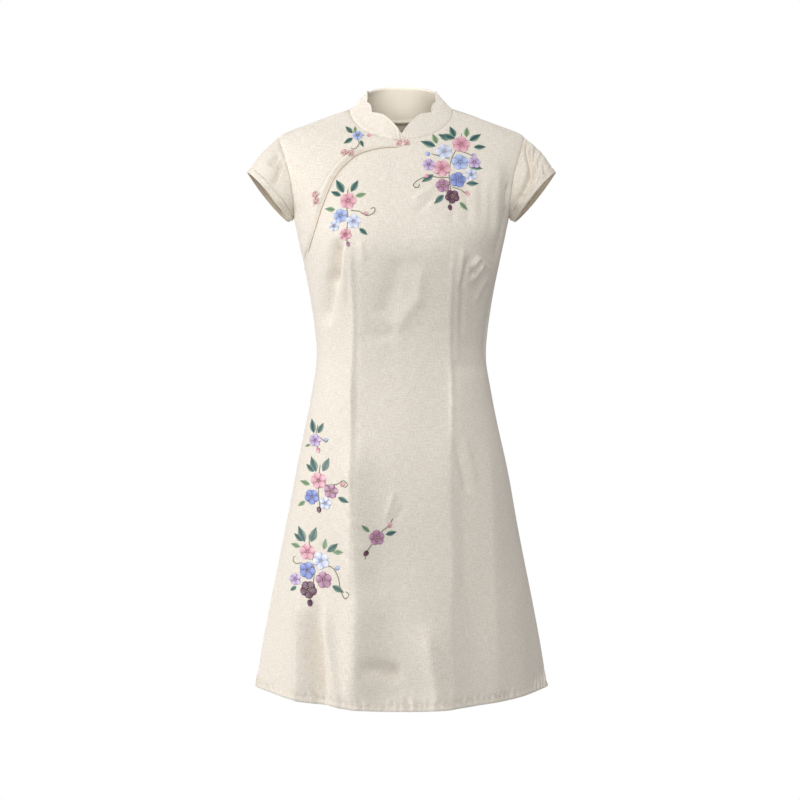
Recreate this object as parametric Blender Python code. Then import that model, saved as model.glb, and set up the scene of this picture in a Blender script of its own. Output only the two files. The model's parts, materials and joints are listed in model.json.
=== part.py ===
"""Cheongsam dress: a short A-line dress with cap sleeves, a scalloped stand collar and a curved
side opening held by three pairs of flower-knot buttons. It is a hollow, worn form: every piece is a
wall of cloth. The origin is the middle of the neck base, +Z is up and the front faces -Y.
Sizes in this file are in millimetres until the meshes are made."""

import math
from collections import namedtuple

import bmesh
import bpy
import numpy as np
from mathutils import Matrix, Vector

MM = 0.001

# ---------------------------------------------------------------- driving dimensions
CLOTH = 1.2                     # one layer of cloth
COLLAR_CLOTH = 1.8              # two layers and interfacing
SEAM_GAP = 0.3                  # space between two pieces that are sewn together
NECK_HALF_WIDTH = 75.0          # neck base at the shoulders
NECK_DROP_FRONT = 53.5          # how far the neckline sinks at the centre front
NECK_DROP_BACK = 12.0
ARMHOLE_TOP = -40.5             # height of the shoulder tip
ARMHOLE_BOTTOM = -159.0
ARMHOLE_SWEEP = 27.0            # degrees that the armhole reaches round to the front and back
OPENING_LOW = -232.0            # where the curved opening meets the side seam
HEM = -835.0                    # at the side seams
HEM_DIP = 10.0                  # how far it hangs lower at the middle of the front and back
UNDERLAP = 20.0                 # how far the small front piece reaches under the large one
UNDERLAP_DIP = 2.3              # how far it lies below the large one's outside there
UNDERLAP_STEP = 3.0             # how far outside the opening's edge that step ends
BUST_OUT = 9.0                  # fullness that the darts leave over each side of the bust
BUST_AT = (80.0, -213.0)
BUST_SIZE = (48.0, 54.0)
SLEEVE_TIP = (223.0, -92.0)     # outer end of the sleeve hem: out from the middle, and height
SLEEVE_LOW = (163.5, -162.5)    # lower end of the sleeve hem, under the arm
SLEEVE_HALF_DEPTH = 52.0
SLEEVE_CROWN = 6.0              # how far the sleeve head rounds out
SLEEVE_MIDDLE = (200.0, 0.0, -105.0)    # a point on its axis near the hem, out from the middle
SLEEVE_LIFT = (0.6, 0.0, 0.8)   # direction in which the head rounds out at the top
SLEEVE_FRONT_HOLLOW = 3.5       # how far the front of its hem curves in
SLEEVE_BACK_FULLNESS = 3.5      # how far the back of its hem curves out
COLLAR_SLIT = 0.4               # degrees from the centre front to each end of the collar

# ---------------------------------------------------------------- body sections
# One row for each level: half width at the side seam, depth of the front and of the back at the
# middle, and edge, the power that makes the side round (under 1) or narrow (over 1).
Section = namedtuple("Section", "height half_width front back edge")
SECTIONS = (
    Section(0.0, 75.0, 5.0, 30.0, 1.50),
    Section(-9.0, 102.5, 16.5, 44.0, 1.50),
    Section(-18.0, 125.5, 25.0, 54.0, 1.45),
    Section(-27.0, 150.5, 33.0, 62.0, 1.38),
    Section(-35.5, 171.5, 40.0, 69.0, 1.30),
    Section(-40.5, 177.6, 44.5, 72.0, 1.25),
    Section(-53.0, 182.0, 56.0, 79.0, 1.10),
    Section(-70.0, 184.0, 68.0, 86.0, 0.97),
    Section(-100.0, 179.0, 87.0, 95.0, 0.84),
    Section(-131.0, 168.5, 103.0, 101.0, 0.80),
    Section(-160.0, 154.8, 115.0, 104.0, 0.81),
    Section(-183.0, 149.8, 122.0, 104.5, 0.83),
    Section(-209.0, 144.3, 126.0, 104.0, 0.85),
    Section(-262.0, 133.4, 117.0, 97.0, 0.90),
    Section(-296.0, 127.6, 106.0, 90.0, 0.93),
    Section(-331.0, 123.2, 98.0, 84.5, 0.95),
    Section(-357.0, 120.4, 95.0, 83.0, 0.95),
    Section(-383.0, 124.7, 97.0, 86.0, 0.97),
    Section(-436.0, 134.1, 104.0, 98.0, 1.00),
    Section(-505.0, 148.6, 112.0, 112.0, 1.10),
    Section(-575.0, 161.7, 117.0, 119.0, 1.20),
    Section(-644.0, 175.5, 121.0, 122.0, 1.35),
    Section(-714.0, 190.0, 125.0, 125.0, 1.50),
    Section(-784.0, 203.0, 129.0, 128.0, 1.62),
    Section(HEM, 210.5, 132.0, 130.0, 1.70),
)

# The largest folds of the cloth: each runs from a top to a low point, given out from the middle and
# by height, with its half width and how far it stands out (or sinks, below zero).
Fold = namedtuple("Fold", "side top_x top_z low_x low_z half_width out")
FOLDS = (
    Fold("front", -152.0, -690.0, -158.0, -900.0, 26.0, 5.0),
    Fold("front", -118.0, -700.0, -100.0, -900.0, 30.0, -4.5),
    Fold("front", -66.0, -700.0, -60.0, -900.0, 26.0, 4.0),
    Fold("front", -52.0, -800.0, 2.0, -806.0, 30.0, -4.0),
    Fold("front", 46.0, -700.0, 58.0, -900.0, 26.0, 4.5),
    Fold("front", 92.0, -540.0, 104.0, -900.0, 34.0, -4.0),
    Fold("front", 150.0, -640.0, 168.0, -900.0, 30.0, 4.0),
    Fold("front", -30.0, -262.0, 34.0, -290.0, 40.0, -4.0),
    Fold("back", -120.0, -640.0, -146.0, -900.0, 34.0, 5.0),
    Fold("back", -50.0, -600.0, -64.0, -900.0, 34.0, -5.0),
    Fold("back", 26.0, -620.0, 20.0, -900.0, 36.0, 5.0),
    Fold("back", 92.0, -600.0, 112.0, -900.0, 34.0, -5.0),
    Fold("back", -40.0, -330.0, 45.0, -352.0, 28.0, -3.0),
)

# The curved opening, from the centre front to the side seam: out from the middle, and height.
OPENING = (
    (0.0, -64.6), (-31.0, -66.9), (-57.0, -73.9), (-85.8, -98.3), (-102.7, -129.0),
    (-119.5, -176.8), (-133.0, -214.0), (-141.0, OPENING_LOW),
)

# The collar's upper edge: degrees from the centre front, and height along the collar from its seam.
Petal = namedtuple("Petal", "turn height")
PETALS = (
    Petal(COLLAR_SLIT, 9.5), Petal(5.0, 19.5), Petal(11.25, 27.5), Petal(17.0, 33.0),
    Petal(24.0, 36.8), Petal(31.0, 37.5), Petal(40.0, 35.3), Petal(48.0, 31.4),
    Petal(52.0, 35.5), Petal(58.0, 38.0), Petal(64.0, 37.5), Petal(71.0, 33.5),
    Petal(75.0, 35.6), Petal(82.0, 36.5), Petal(90.0, 36.5), Petal(112.0, 41.0),
    Petal(135.0, 46.8), Petal(158.0, 50.4), Petal(180.0, 51.5),
)
LEAN_FRONT, LEAN_SIDE, LEAN_BACK = 22.0, 43.0, 14.0     # degrees that the collar leans in

# Flower-knot buttons: where each pair sits on the front, and how far its line is turned.
Knots = namedtuple("Knots", "name x z turn")
KNOTS = (
    Knots("neck", 2.1, -60.4, 2.0),
    Knots("collarbone", -75.5, -74.6, -7.0),
    Knots("chest", -118.8, -139.0, -78.0),
)
KNOT_SPAN = 9.6                 # between the middles of the two flowers of a pair
FLOWER_RADIUS = 4.5
FLOWER_WAVE = 0.5               # how far its petals reach past the dips between them
FLOWER_PETALS = 4
FLOWER_RISE = 2.6
FLOWER_SINK = 0.7
KNOT_LIFT = 1.6                 # from the cloth to the level of a flower's widest round

# ---------------------------------------------------------------- mesh resolution
PANEL_COLUMNS = 24
LOWER_ROWS = 18                 # from the hem to the opening's low end
SIDE_ROWS = 5                   # from there to the armhole
ARMHOLE_ROWS = 8
UPPER_ROWS = SIDE_ROWS + ARMHOLE_ROWS
FRONT_NECK_COLUMNS = 8          # for a quarter of the neckline
BACK_NECK_COLUMNS = 12          # for half of it
UNDERLAP_SIDE_ROWS = 3
UNDERLAP_SHOULDER_COLUMNS = 3
UNDERLAP_HIDDEN_COLUMNS = 2
UNDERLAP_SHOWN_COLUMNS = UNDERLAP_SHOULDER_COLUMNS + FRONT_NECK_COLUMNS
UNDERLAP_FOOT = 0.04            # where it starts along the opening's edge
SLEEVE_COLUMNS = 2 * ARMHOLE_ROWS
SLEEVE_ROWS = 3
COLLAR_ROWS = 3
FLOWER_SEGMENTS = (12, 6)
RELAX_ROUNDS = 300

COLOURS = {
    "ivory_cloth": ((0.83, 0.78, 0.69, 1.0), 0.85),
    "pink_cord": ((0.78, 0.42, 0.44, 1.0), 0.6),
}


# ---------------------------------------------------------------- curves and surfaces
def column_slopes(column):
    """Slope at each section that carries a column smoothly, without overshoot."""
    steps = [
        (getattr(low, column) - getattr(high, column)) / (low.height - high.height)
        for high, low in zip(SECTIONS, SECTIONS[1:])
    ]
    inner = [2 * a * b / (a + b) if a * b > 0 else 0.0 for a, b in zip(steps, steps[1:])]
    return [steps[0], *inner, steps[-1]]


SLOPES = {column: column_slopes(column) for column in Section._fields[1:]}


def section_value(column, height):
    """A column of the section table at any height."""
    index = 0
    while index < len(SECTIONS) - 2 and height < SECTIONS[index + 1].height:
        index += 1
    high, low = SECTIONS[index], SECTIONS[index + 1]
    span = low.height - high.height
    t = (height - high.height) / span
    rest = 1 - t
    start, end = getattr(high, column), getattr(low, column)
    slope_start, slope_end = SLOPES[column][index], SLOPES[column][index + 1]
    return (
        start * (1 + 2 * t) * rest * rest + end * t * t * (3 - 2 * t)
        + span * (slope_start * t * rest * rest - slope_end * t * t * rest)
    )


def ease(amount):
    """0 to 1 with level ends."""
    amount = max(0.0, min(1.0, amount))
    return amount * amount * (3 - 2 * amount)


def fold_offset(side, x, z):
    """How far the large folds move the cloth out at a place on the front or back."""
    offset = 0.0
    for fold in FOLDS:
        if fold.side != side:
            continue
        run = Vector((fold.low_x - fold.top_x, fold.low_z - fold.top_z))
        place = Vector((x - fold.top_x, z - fold.top_z))
        along = place.dot(run) / run.length_squared
        across = abs(place.x * run.y - place.y * run.x) / run.length / fold.half_width
        if 0 < along < 1 and across < 1:
            ends = ease(3 * along) * ease(3 * (1 - along))
            offset += fold.out * math.cos(across * math.pi / 2) ** 2 * ends
    return offset


def body(turn, height):
    """Point on the outside of the dress: turn is 0 at the centre front, 90 at the wearer's left
    side seam, 180 at the centre back and -90 or 270 at the right side seam."""
    angle = math.radians(turn)
    ahead = math.cos(angle)
    x = section_value("half_width", height) * math.sin(angle)
    edge = section_value("edge", height)
    if ahead >= 0:
        y = -section_value("front", height) * ahead ** edge
        across, along = (abs(x) - BUST_AT[0]) / BUST_SIZE[0], (height - BUST_AT[1]) / BUST_SIZE[1]
        y -= BUST_OUT * math.exp(-across ** 2 - along ** 2) * min(1.0, 3 * ahead)
    else:
        y = section_value("back", height) * (-ahead) ** edge
    side = "front" if ahead >= 0 else "back"
    out = fold_offset(side, x, height) * min(1.0, 2.5 * abs(ahead))
    return Vector((x + out * math.sin(angle), y - out * ahead, height))


def body_normal(turn, height):
    """Direction out of the dress at a place."""
    step = 0.5
    around = body(turn + step, height) - body(turn - step, height)
    up = body(turn, min(height + step, 0.0)) - body(turn, height - step)
    return around.cross(up).normalized()


def on_seam(turn):
    """True on the side and shoulder seams."""
    return abs(math.cos(math.radians(turn))) < 1e-5


def front_turn(x, height):
    """The turn at which the front surface is x out from the middle."""
    ratio = x / section_value("half_width", height)
    return math.degrees(math.asin(max(-1.0, min(1.0, ratio))))


def catmull_rom(points, place):
    """Smooth curve through points, place running from 0 to 1."""
    last = len(points) - 1
    index = min(int(place * last), last - 1)
    t = place * last - index
    before, start = points[max(index - 1, 0)], points[index]
    end, after = points[index + 1], points[min(index + 2, last)]
    return tuple(
        0.5 * (2 * b + (c - a) * t + (2 * a - 5 * b + 4 * c - d) * t * t
               + (3 * b - a - 3 * c + d) * t ** 3)
        for a, b, c, d in zip(before, start, end, after)
    )


# ---------------------------------------------------------------- seams, as (turn, height)
def neckline(turn):
    """The neck seam: 0 at the centre front, 90 at the left shoulder, 180 at the centre back."""
    angle = math.radians(turn)
    ahead = math.cos(angle)
    height = -ahead * NECK_DROP_FRONT if ahead > 0 else ahead * NECK_DROP_BACK
    on_front = front_turn(NECK_HALF_WIDTH * math.sin(angle), height)
    return (on_front, height) if ahead > 0 else (180.0 - on_front, height)


def shoulder(place):
    """Left shoulder seam, from the neck (0) to the tip (1)."""
    return 90.0, ARMHOLE_TOP * place


def armhole(turn):
    """Left armhole seam: 0 at the shoulder tip, 90 at the front, 180 under the arm."""
    angle = math.radians(turn)
    middle, half = (ARMHOLE_TOP + ARMHOLE_BOTTOM) / 2, (ARMHOLE_TOP - ARMHOLE_BOTTOM) / 2
    return 90.0 - ARMHOLE_SWEEP * math.sin(angle), middle + half * math.cos(angle)


OPENING_TURNS = tuple((front_turn(x, height), height) for x, height in reversed(OPENING))
CENTRE_SHARE = 1 / UPPER_ROWS   # of the opening's edge, the short straight up the centre front


def beside_opening(place, out):
    """A line beside the opening's edge, out to the upper right side of the wearer: from the side
    seam (0) along the curve and up the centre front to the neckline (1)."""
    if place > 1 - CENTRE_SHARE / 2:
        x = -out
        neck_turn, neck_height = neckline(math.degrees(math.asin(x / NECK_HALF_WIDTH)))
        return neck_turn, neck_height
    along = min(1.0, place / (1 - CENTRE_SHARE))
    turn, height = catmull_rom(OPENING_TURNS, along)
    if not out:
        return turn, height
    ahead = catmull_rom(OPENING_TURNS, min(1.0, along + 0.02))
    behind = catmull_rom(OPENING_TURNS, max(0.0, along - 0.02))
    width = (body(turn + 1, height) - body(turn - 1, height)).length / 2
    run = Vector(((ahead[0] - behind[0]) * width, ahead[1] - behind[1])).normalized()
    return turn - run.y * out / width, height + run.x * out


# ---------------------------------------------------------------- panels, as grids of (turn, height)
def relax(grid):
    """Evens out a grid inside its edges without letting its lines cross (Winslow's equations)."""
    inner = (slice(1, -1), slice(1, -1))
    for _ in range(RELAX_ROUNDS):
        east, west = grid[1:-1, 2:], grid[1:-1, :-2]
        north, south = grid[2:, 1:-1], grid[:-2, 1:-1]
        across, up = (east - west) / 2, (north - south) / 2
        corners = grid[2:, 2:] - grid[2:, :-2] - grid[:-2, 2:] + grid[:-2, :-2]
        alpha = (up * up).sum(axis=-1, keepdims=True)
        beta = (across * up).sum(axis=-1, keepdims=True)
        gamma = (across * across).sum(axis=-1, keepdims=True)
        level = alpha * (east + west) + gamma * (north + south) - beta * corners / 2
        grid[inner] = level / (2 * (alpha + gamma))


def patch(bottom, top, left, right, columns, rows, middle=0.0):
    """A grid of places inside four edges that meet at their ends. It is laid out on the flat
    pattern, by width out from the middle and height."""
    def spread(place):
        turn, height = place
        return section_value("half_width", height) * (turn - middle) / 90.0, height

    s = np.linspace(0, 1, columns + 1)[None, :, None]
    t = np.linspace(0, 1, rows + 1)[:, None, None]
    low, high = (np.array([[spread(edge(place)) for place in s.flat]]) for edge in (bottom, top))
    start, end = (np.array([[spread(edge(place))] for place in t.flat]) for edge in (left, right))
    grid = (
        (1 - t) * low + t * high + (1 - s) * start + s * end
        - (1 - t) * ((1 - s) * low[:, :1] + s * low[:, -1:])
        - t * ((1 - s) * high[:, :1] + s * high[:, -1:])
    )
    relax(grid)
    return [
        [(middle + 90.0 * width / section_value("half_width", height), height)
         for width, height in row] for row in grid
    ]


def side_then_armhole(low, side_rows, armhole_turn):
    """Panel edge that runs up the left side seam from low, then along the armhole."""
    share = side_rows / (side_rows + ARMHOLE_ROWS)

    def along(t):
        if t <= share:
            return 90.0, low + (ARMHOLE_BOTTOM - low) * t / share
        return armhole(armhole_turn((t - share) / (1 - share)))
    return along


def lower_rows(first_turn):
    """Rows of a whole panel, from the hem to just under the opening's low end."""
    rows = [[] for _ in range(LOWER_ROWS)]
    for i in range(PANEL_COLUMNS + 1):
        turn = first_turn + 180.0 * i / PANEL_COLUMNS
        low = HEM - HEM_DIP * math.cos(math.radians(turn)) ** 2
        for j, row in enumerate(rows):
            row.append((turn, low + (OPENING_LOW - low) * j / LOWER_ROWS))
    return rows


def front_places():
    """Large front piece, from the right side seam to the left one."""
    neck_share = FRONT_NECK_COLUMNS / PANEL_COLUMNS

    def top(s):
        if s <= neck_share:
            return neckline(90.0 * s / neck_share)
        return shoulder((s - neck_share) / (1 - neck_share))

    left_edge = side_then_armhole(OPENING_LOW, SIDE_ROWS, lambda t: 180.0 * (1 - t))
    return lower_rows(-90.0) + patch(
        lambda s: (180.0 * s - 90.0, OPENING_LOW), top, lambda t: beside_opening(t, 0.0),
        left_edge, PANEL_COLUMNS, UPPER_ROWS)


def back_places():
    """Back piece, from the left side seam to the right one."""
    neck_share = BACK_NECK_COLUMNS / PANEL_COLUMNS
    shoulder_share = (1 - neck_share) / 2

    def top(s):
        if s <= shoulder_share:
            return shoulder(1 - s / shoulder_share)
        if s <= 1 - shoulder_share:
            return neckline(90.0 + 180.0 * (s - shoulder_share) / neck_share)
        turn, height = shoulder((s - 1 + shoulder_share) / shoulder_share)
        return 360.0 - turn, height

    left_edge = side_then_armhole(OPENING_LOW, SIDE_ROWS, lambda t: 180.0 + 180.0 * t)

    def right_edge(t):
        turn, height = left_edge(t)
        return 360.0 - turn, height

    return lower_rows(90.0) + patch(
        lambda s: (90.0 + 180.0 * s, OPENING_LOW), top, left_edge, right_edge,
        PANEL_COLUMNS, UPPER_ROWS, middle=180.0)


def underlap_places():
    """Small front piece, from the right armhole to its edge under the large piece."""
    neck_share = FRONT_NECK_COLUMNS / UNDERLAP_SHOWN_COLUMNS
    foot_height = beside_opening(UNDERLAP_FOOT, UNDERLAP_STEP)[1]
    left_edge = side_then_armhole(foot_height, UNDERLAP_SIDE_ROWS, lambda t: 180.0 * (1 - t))

    def armhole_edge(t):
        turn, height = left_edge(t)
        return -turn, height

    def line(out):
        return lambda t: beside_opening(UNDERLAP_FOOT + (1 - UNDERLAP_FOOT) * t, out)

    def top(s):
        if s <= 1 - neck_share:
            turn, height = shoulder(1 - s / (1 - neck_share))
            return -turn, height
        step_turn = math.degrees(math.asin(UNDERLAP_STEP / NECK_HALF_WIDTH))
        return neckline(-max(90.0 * (1 - s) / neck_share, step_turn))

    def foot(s):
        low, high = armhole_edge(0), line(UNDERLAP_STEP)(0)
        return low[0] + (high[0] - low[0]) * s, low[1] + (high[1] - low[1]) * s

    rows = UNDERLAP_SIDE_ROWS + ARMHOLE_ROWS
    shown = patch(foot, top, armhole_edge, line(UNDERLAP_STEP), UNDERLAP_SHOWN_COLUMNS, rows)
    for j, row in enumerate(shown):
        for i in range(1, UNDERLAP_HIDDEN_COLUMNS + 1):
            reach = (UNDERLAP_STEP + UNDERLAP) * i / UNDERLAP_HIDDEN_COLUMNS
            row.append(line(UNDERLAP_STEP - reach)(j / rows))
    return shown


def settle(place, front):
    """Outside point of a panel and its direction out; points on a side or shoulder seam are moved
    half the seam gap to the panel's own side."""
    point, normal = body(*place), body_normal(*place)
    if on_seam(place[0]):
        normal.y = 0.0
        normal.normalize()
        point.y = -SEAM_GAP / 2 if front else SEAM_GAP / 2
    return point, normal


def panel_surface(places, front):
    """Surface of a panel for a wall."""
    return lambda i, j: settle(places[j][i], front)


def underlap_surface(places):
    """Surface of the small front piece, which steps down where the large piece covers it."""
    def surface(i, j):
        point, normal = settle(places[j][i], True)
        if i >= UNDERLAP_SHOWN_COLUMNS:
            point = point - normal * UNDERLAP_DIP
        return point, normal
    return surface


# ---------------------------------------------------------------- sleeves and collar
def seam_frame(seam, turn, step):
    """Point on a seam of the body, the direction out of the cloth, and the direction along the
    cloth that leads across the seam."""
    place = seam(turn)
    point, normal = body(*place), body_normal(*place)
    if on_seam(place[0]):
        normal.y = 0.0
        normal.normalize()
    along = body(*seam(turn + step)) - body(*seam(turn - step))
    return point, normal, normal.cross(along).normalized()


def sleeve_hem(turn):
    """Point on the left sleeve's hem, by the same turn as the armhole."""
    angle = math.radians(turn)
    tip, low = Vector((SLEEVE_TIP[0], 0, SLEEVE_TIP[1])), Vector((SLEEVE_LOW[0], 0, SLEEVE_LOW[1]))
    chord = low - tip
    outward = Vector((chord.z, 0, -chord.x)).normalized() * -1.0
    bow = -SLEEVE_FRONT_HOLLOW if math.sin(angle) > 0 else SLEEVE_BACK_FULLNESS
    point = tip + chord * (1 - math.cos(angle)) / 2 + outward * bow * math.sin(angle) ** 2
    point.y = -SLEEVE_HALF_DEPTH * math.sin(angle)
    return point


def sleeve_point(turn, along):
    """Point on the left sleeve, from the armhole (0) to the hem (1)."""
    start, normal, across = seam_frame(armhole, turn, 0.5)
    start = start + across * SEAM_GAP
    hem = sleeve_hem(turn)
    crown = SLEEVE_CROWN * (0.5 + 0.5 * math.cos(math.radians(turn)))
    out = ((start + hem) / 2 - Vector(SLEEVE_MIDDLE)).normalized()
    out = (out + Vector(SLEEVE_LIFT) * crown / SLEEVE_CROWN).normalized()
    return start + (hem - start) * along + out * crown * math.sin(math.pi * along)


def sleeve_surface(mirrored):
    """Surface of the left sleeve, or of the right one where mirrored. At the armhole the wall's end
    lies along the panels' own edge, and halves the angle where the seam folds in."""
    def surface(i, j):
        turn, t = 360.0 * i / SLEEVE_COLUMNS, j / SLEEVE_ROWS
        point = sleeve_point(turn, t)
        place = max(t, 0.1)
        around = sleeve_point(turn + 1, place) - sleeve_point(turn - 1, place)
        down = sleeve_point(turn, place) - sleeve_point(turn, place - 0.1)
        normal = around.cross(down).normalized()
        if j == 0:
            _, panel_normal, across = seam_frame(armhole, turn, 0.5)
            fold = normal if normal.dot(across) < 0 else Vector()
            normal = (panel_normal + fold).normalized()
        if mirrored:
            point.x, normal.x = -point.x, -normal.x
        return point, normal
    return surface


def neck_edge_turns():
    """The turns at which the panels' meshes have a point on the neckline, for the left half."""
    front = [90.0 * i / FRONT_NECK_COLUMNS for i in range(FRONT_NECK_COLUMNS)]
    half = BACK_NECK_COLUMNS // 2
    return front + [90.0 + 90.0 * i / half for i in range(half + 1)]


def collar_foot(turn):
    """Point and direction out where the collar meets the panels' straight-sided neck edge."""
    turns = neck_edge_turns()
    index = max(i for i, start in enumerate(turns[:-1]) if start <= turn)
    mix = (turn - turns[index]) / (turns[index + 1] - turns[index])
    low, high = (seam_frame(neckline, turns[i], 0.5) for i in (index, index + 1))
    point, normal, across = (a.lerp(b, mix) for a, b in zip(low, high))
    return point + across.normalized() * SEAM_GAP, normal.normalized()


def collar_lean(turn):
    """How far the collar leans in, in degrees."""
    far = LEAN_FRONT if turn < 90 else LEAN_BACK
    return LEAN_SIDE + (far - LEAN_SIDE) * math.cos(math.radians(turn)) ** 2


def collar_top(turn):
    """Height of the collar's edge, straight between the rows of the table."""
    index = max(i for i, row in enumerate(PETALS[:-1]) if row.turn <= turn + 1e-6)
    low, high = PETALS[index], PETALS[index + 1]
    mix = (turn - low.turn) / (high.turn - low.turn)
    return low.height + (high.height - low.height) * mix


def collar_point(turn, along):
    """Point on the collar's left half, from its seam (0) to its edge (1)."""
    foot, _ = collar_foot(turn)
    lean = math.radians(collar_lean(turn))
    inward = Vector((-math.sin(math.radians(turn)), math.cos(math.radians(turn)), 0.0))
    slope = inward * math.sin(lean) + Vector((0, 0, 1)) * math.cos(lean)
    return foot + slope * collar_top(turn) * along


def collar_columns():
    """Turns of the collar's columns, from its left end round the back to its right end."""
    half = sorted({row.turn for row in PETALS} | {t for t in neck_edge_turns() if t > 0})
    half = [a for a, b in zip(half, half[1:] + [999.0]) if b - a > 1.0]
    return half + [360.0 - turn for turn in reversed(half[:-1])]


def collar_surface(columns):
    """Surface of the collar for a wall, with its columns at the given turns."""
    def surface(i, j):
        turn, t = columns[i], j / COLLAR_ROWS
        left_turn = turn if turn <= 180.0 else 360.0 - turn
        point = collar_point(left_turn, t)
        if j == 0:
            _, normal = collar_foot(left_turn)
        else:
            low, high = max(left_turn - 1, COLLAR_SLIT), min(left_turn + 1, 180.0)
            around = collar_point(high, t) - collar_point(low, t)
            up = point - collar_point(left_turn, t - 0.05)
            normal = around.cross(up)
            normal.z = max(normal.z, 0.0)
            normal.normalize()
        if turn > 180.0:
            point.x, normal.x = -point.x, -normal.x
        return point, normal
    return surface


# ---------------------------------------------------------------- making meshes
def material(name):
    """Principled material with the piece's plain colour."""
    found = bpy.data.materials.get(name)
    if found:
        return found
    colour, roughness = COLOURS[name]
    made = bpy.data.materials.new(name)
    made.use_nodes = True
    shader = made.node_tree.nodes["Principled BSDF"]
    shader.inputs["Base Color"].default_value = colour
    shader.inputs["Roughness"].default_value = roughness
    made.diffuse_color = colour
    return made


def finish(bm, name, material_name):
    """Turns a bmesh in millimetres into a named object in metres."""
    bmesh.ops.recalc_face_normals(bm, faces=bm.faces[:])
    bmesh.ops.scale(bm, vec=(MM, MM, MM), verts=bm.verts[:])
    mesh = bpy.data.meshes.new(name)
    bm.to_mesh(mesh)
    bm.free()
    mesh.materials.append(material(material_name))
    mesh.shade_smooth()
    mesh.set_sharp_from_angle(angle=math.radians(50.0))
    made = bpy.data.objects.new(name, mesh)
    bpy.context.scene.collection.objects.link(made)
    return made


def wall(name, surface, columns, rows, thickness, closed=False):
    """A wall of cloth: a grid laid on surface(column, row) and given its thickness inwards. surface
    gives the outside point and the direction out; a closed grid joins its first and last column."""
    bm = bmesh.new()
    bmesh.ops.create_grid(bm, x_segments=columns, y_segments=rows, size=0.5)
    inwards = {}
    for vert in bm.verts:
        i, j = round((vert.co.x + 0.5) * columns), round((vert.co.y + 0.5) * rows)
        vert.co, normal = surface(i % columns if closed else i, j)
        inwards[vert.co.copy().freeze()] = -normal * thickness
    if closed:
        bmesh.ops.remove_doubles(bm, verts=bm.verts[:], dist=0.001)
    everything = bm.verts[:] + bm.edges[:] + bm.faces[:]
    grown = bmesh.ops.extrude_face_region(bm, geom=everything, use_keep_orig=True)
    for item in grown["geom"]:
        if isinstance(item, bmesh.types.BMVert):
            item.co += inwards[item.co.copy().freeze()]
    bmesh.ops.triangulate(bm, faces=bm.faces[:], quad_method="SHORT_EDGE")
    return finish(bm, name, "ivory_cloth")


def flower(name, x, z, tilt):
    """A rounded knot of cord with soft petals, lying on the front."""
    bm = bmesh.new()
    across, up = FLOWER_SEGMENTS
    bmesh.ops.create_uvsphere(bm, u_segments=across, v_segments=up, radius=1.0)
    for vert in bm.verts:
        angle = math.atan2(vert.co.y, vert.co.x)
        radius = FLOWER_RADIUS - FLOWER_WAVE * (1 - math.cos(FLOWER_PETALS * angle)) / 2
        rise = FLOWER_RISE if vert.co.z > 0 else FLOWER_SINK
        vert.co = Vector((vert.co.x * radius, vert.co.y * radius, vert.co.z * rise))
    turn = front_turn(x, z)
    out = body_normal(turn, z)
    right = Vector((0, 0, 1)).cross(out).normalized()
    frame = Matrix((right, out.cross(right), out)).transposed().to_4x4()
    place = Matrix.Translation(body(turn, z) + out * KNOT_LIFT)
    bmesh.ops.transform(
        bm, matrix=place @ frame @ Matrix.Rotation(math.radians(tilt), 4, "Z"), verts=bm.verts[:])
    return finish(bm, name, "pink_cord")


def make_knots(knots):
    """Both flowers of a pair of buttons, side by side on their line."""
    reach = KNOT_SPAN / 2
    lean = math.radians(knots.turn)
    for end, sign in (("loop", -1), ("knot", 1)):
        x, z = knots.x + sign * reach * math.cos(lean), knots.z + sign * reach * math.sin(lean)
        flower(f"button_{knots.name}_{end}", x, z, knots.turn + 45.0)


def main():
    for old in list(bpy.data.objects):
        bpy.data.objects.remove(old)
    rows = LOWER_ROWS + UPPER_ROWS
    wall("front_panel", panel_surface(front_places(), True), PANEL_COLUMNS, rows, CLOTH)
    wall("back_panel", panel_surface(back_places(), False), PANEL_COLUMNS, rows, CLOTH)
    wall("front_underlap", underlap_surface(underlap_places()),
         UNDERLAP_SHOWN_COLUMNS + UNDERLAP_HIDDEN_COLUMNS, UNDERLAP_SIDE_ROWS + ARMHOLE_ROWS, CLOTH)
    for name, mirrored in (("sleeve_left", False), ("sleeve_right", True)):
        wall(name, sleeve_surface(mirrored), SLEEVE_COLUMNS, SLEEVE_ROWS, CLOTH, closed=True)
    columns = collar_columns()
    wall("collar", collar_surface(columns), len(columns) - 1, COLLAR_ROWS, COLLAR_CLOTH)
    for knots in KNOTS:
        make_knots(knots)


main()
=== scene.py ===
"""Cheongsam dress in ivory linen-like cloth: cloth panels with their folds, seams and hems, a scalloped
collar, embroidered blossoms and flower-knot buttons. Lengths in the tables are in millimetres."""

import json
import math
from collections import namedtuple

import bmesh
import bpy
import numpy as np
from bpy.props import FloatProperty, FloatVectorProperty, IntProperty, PointerProperty
from mathutils import Matrix, Vector, noise
from mathutils.bvhtree import BVHTree
from mathutils.kdtree import KDTree

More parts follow.
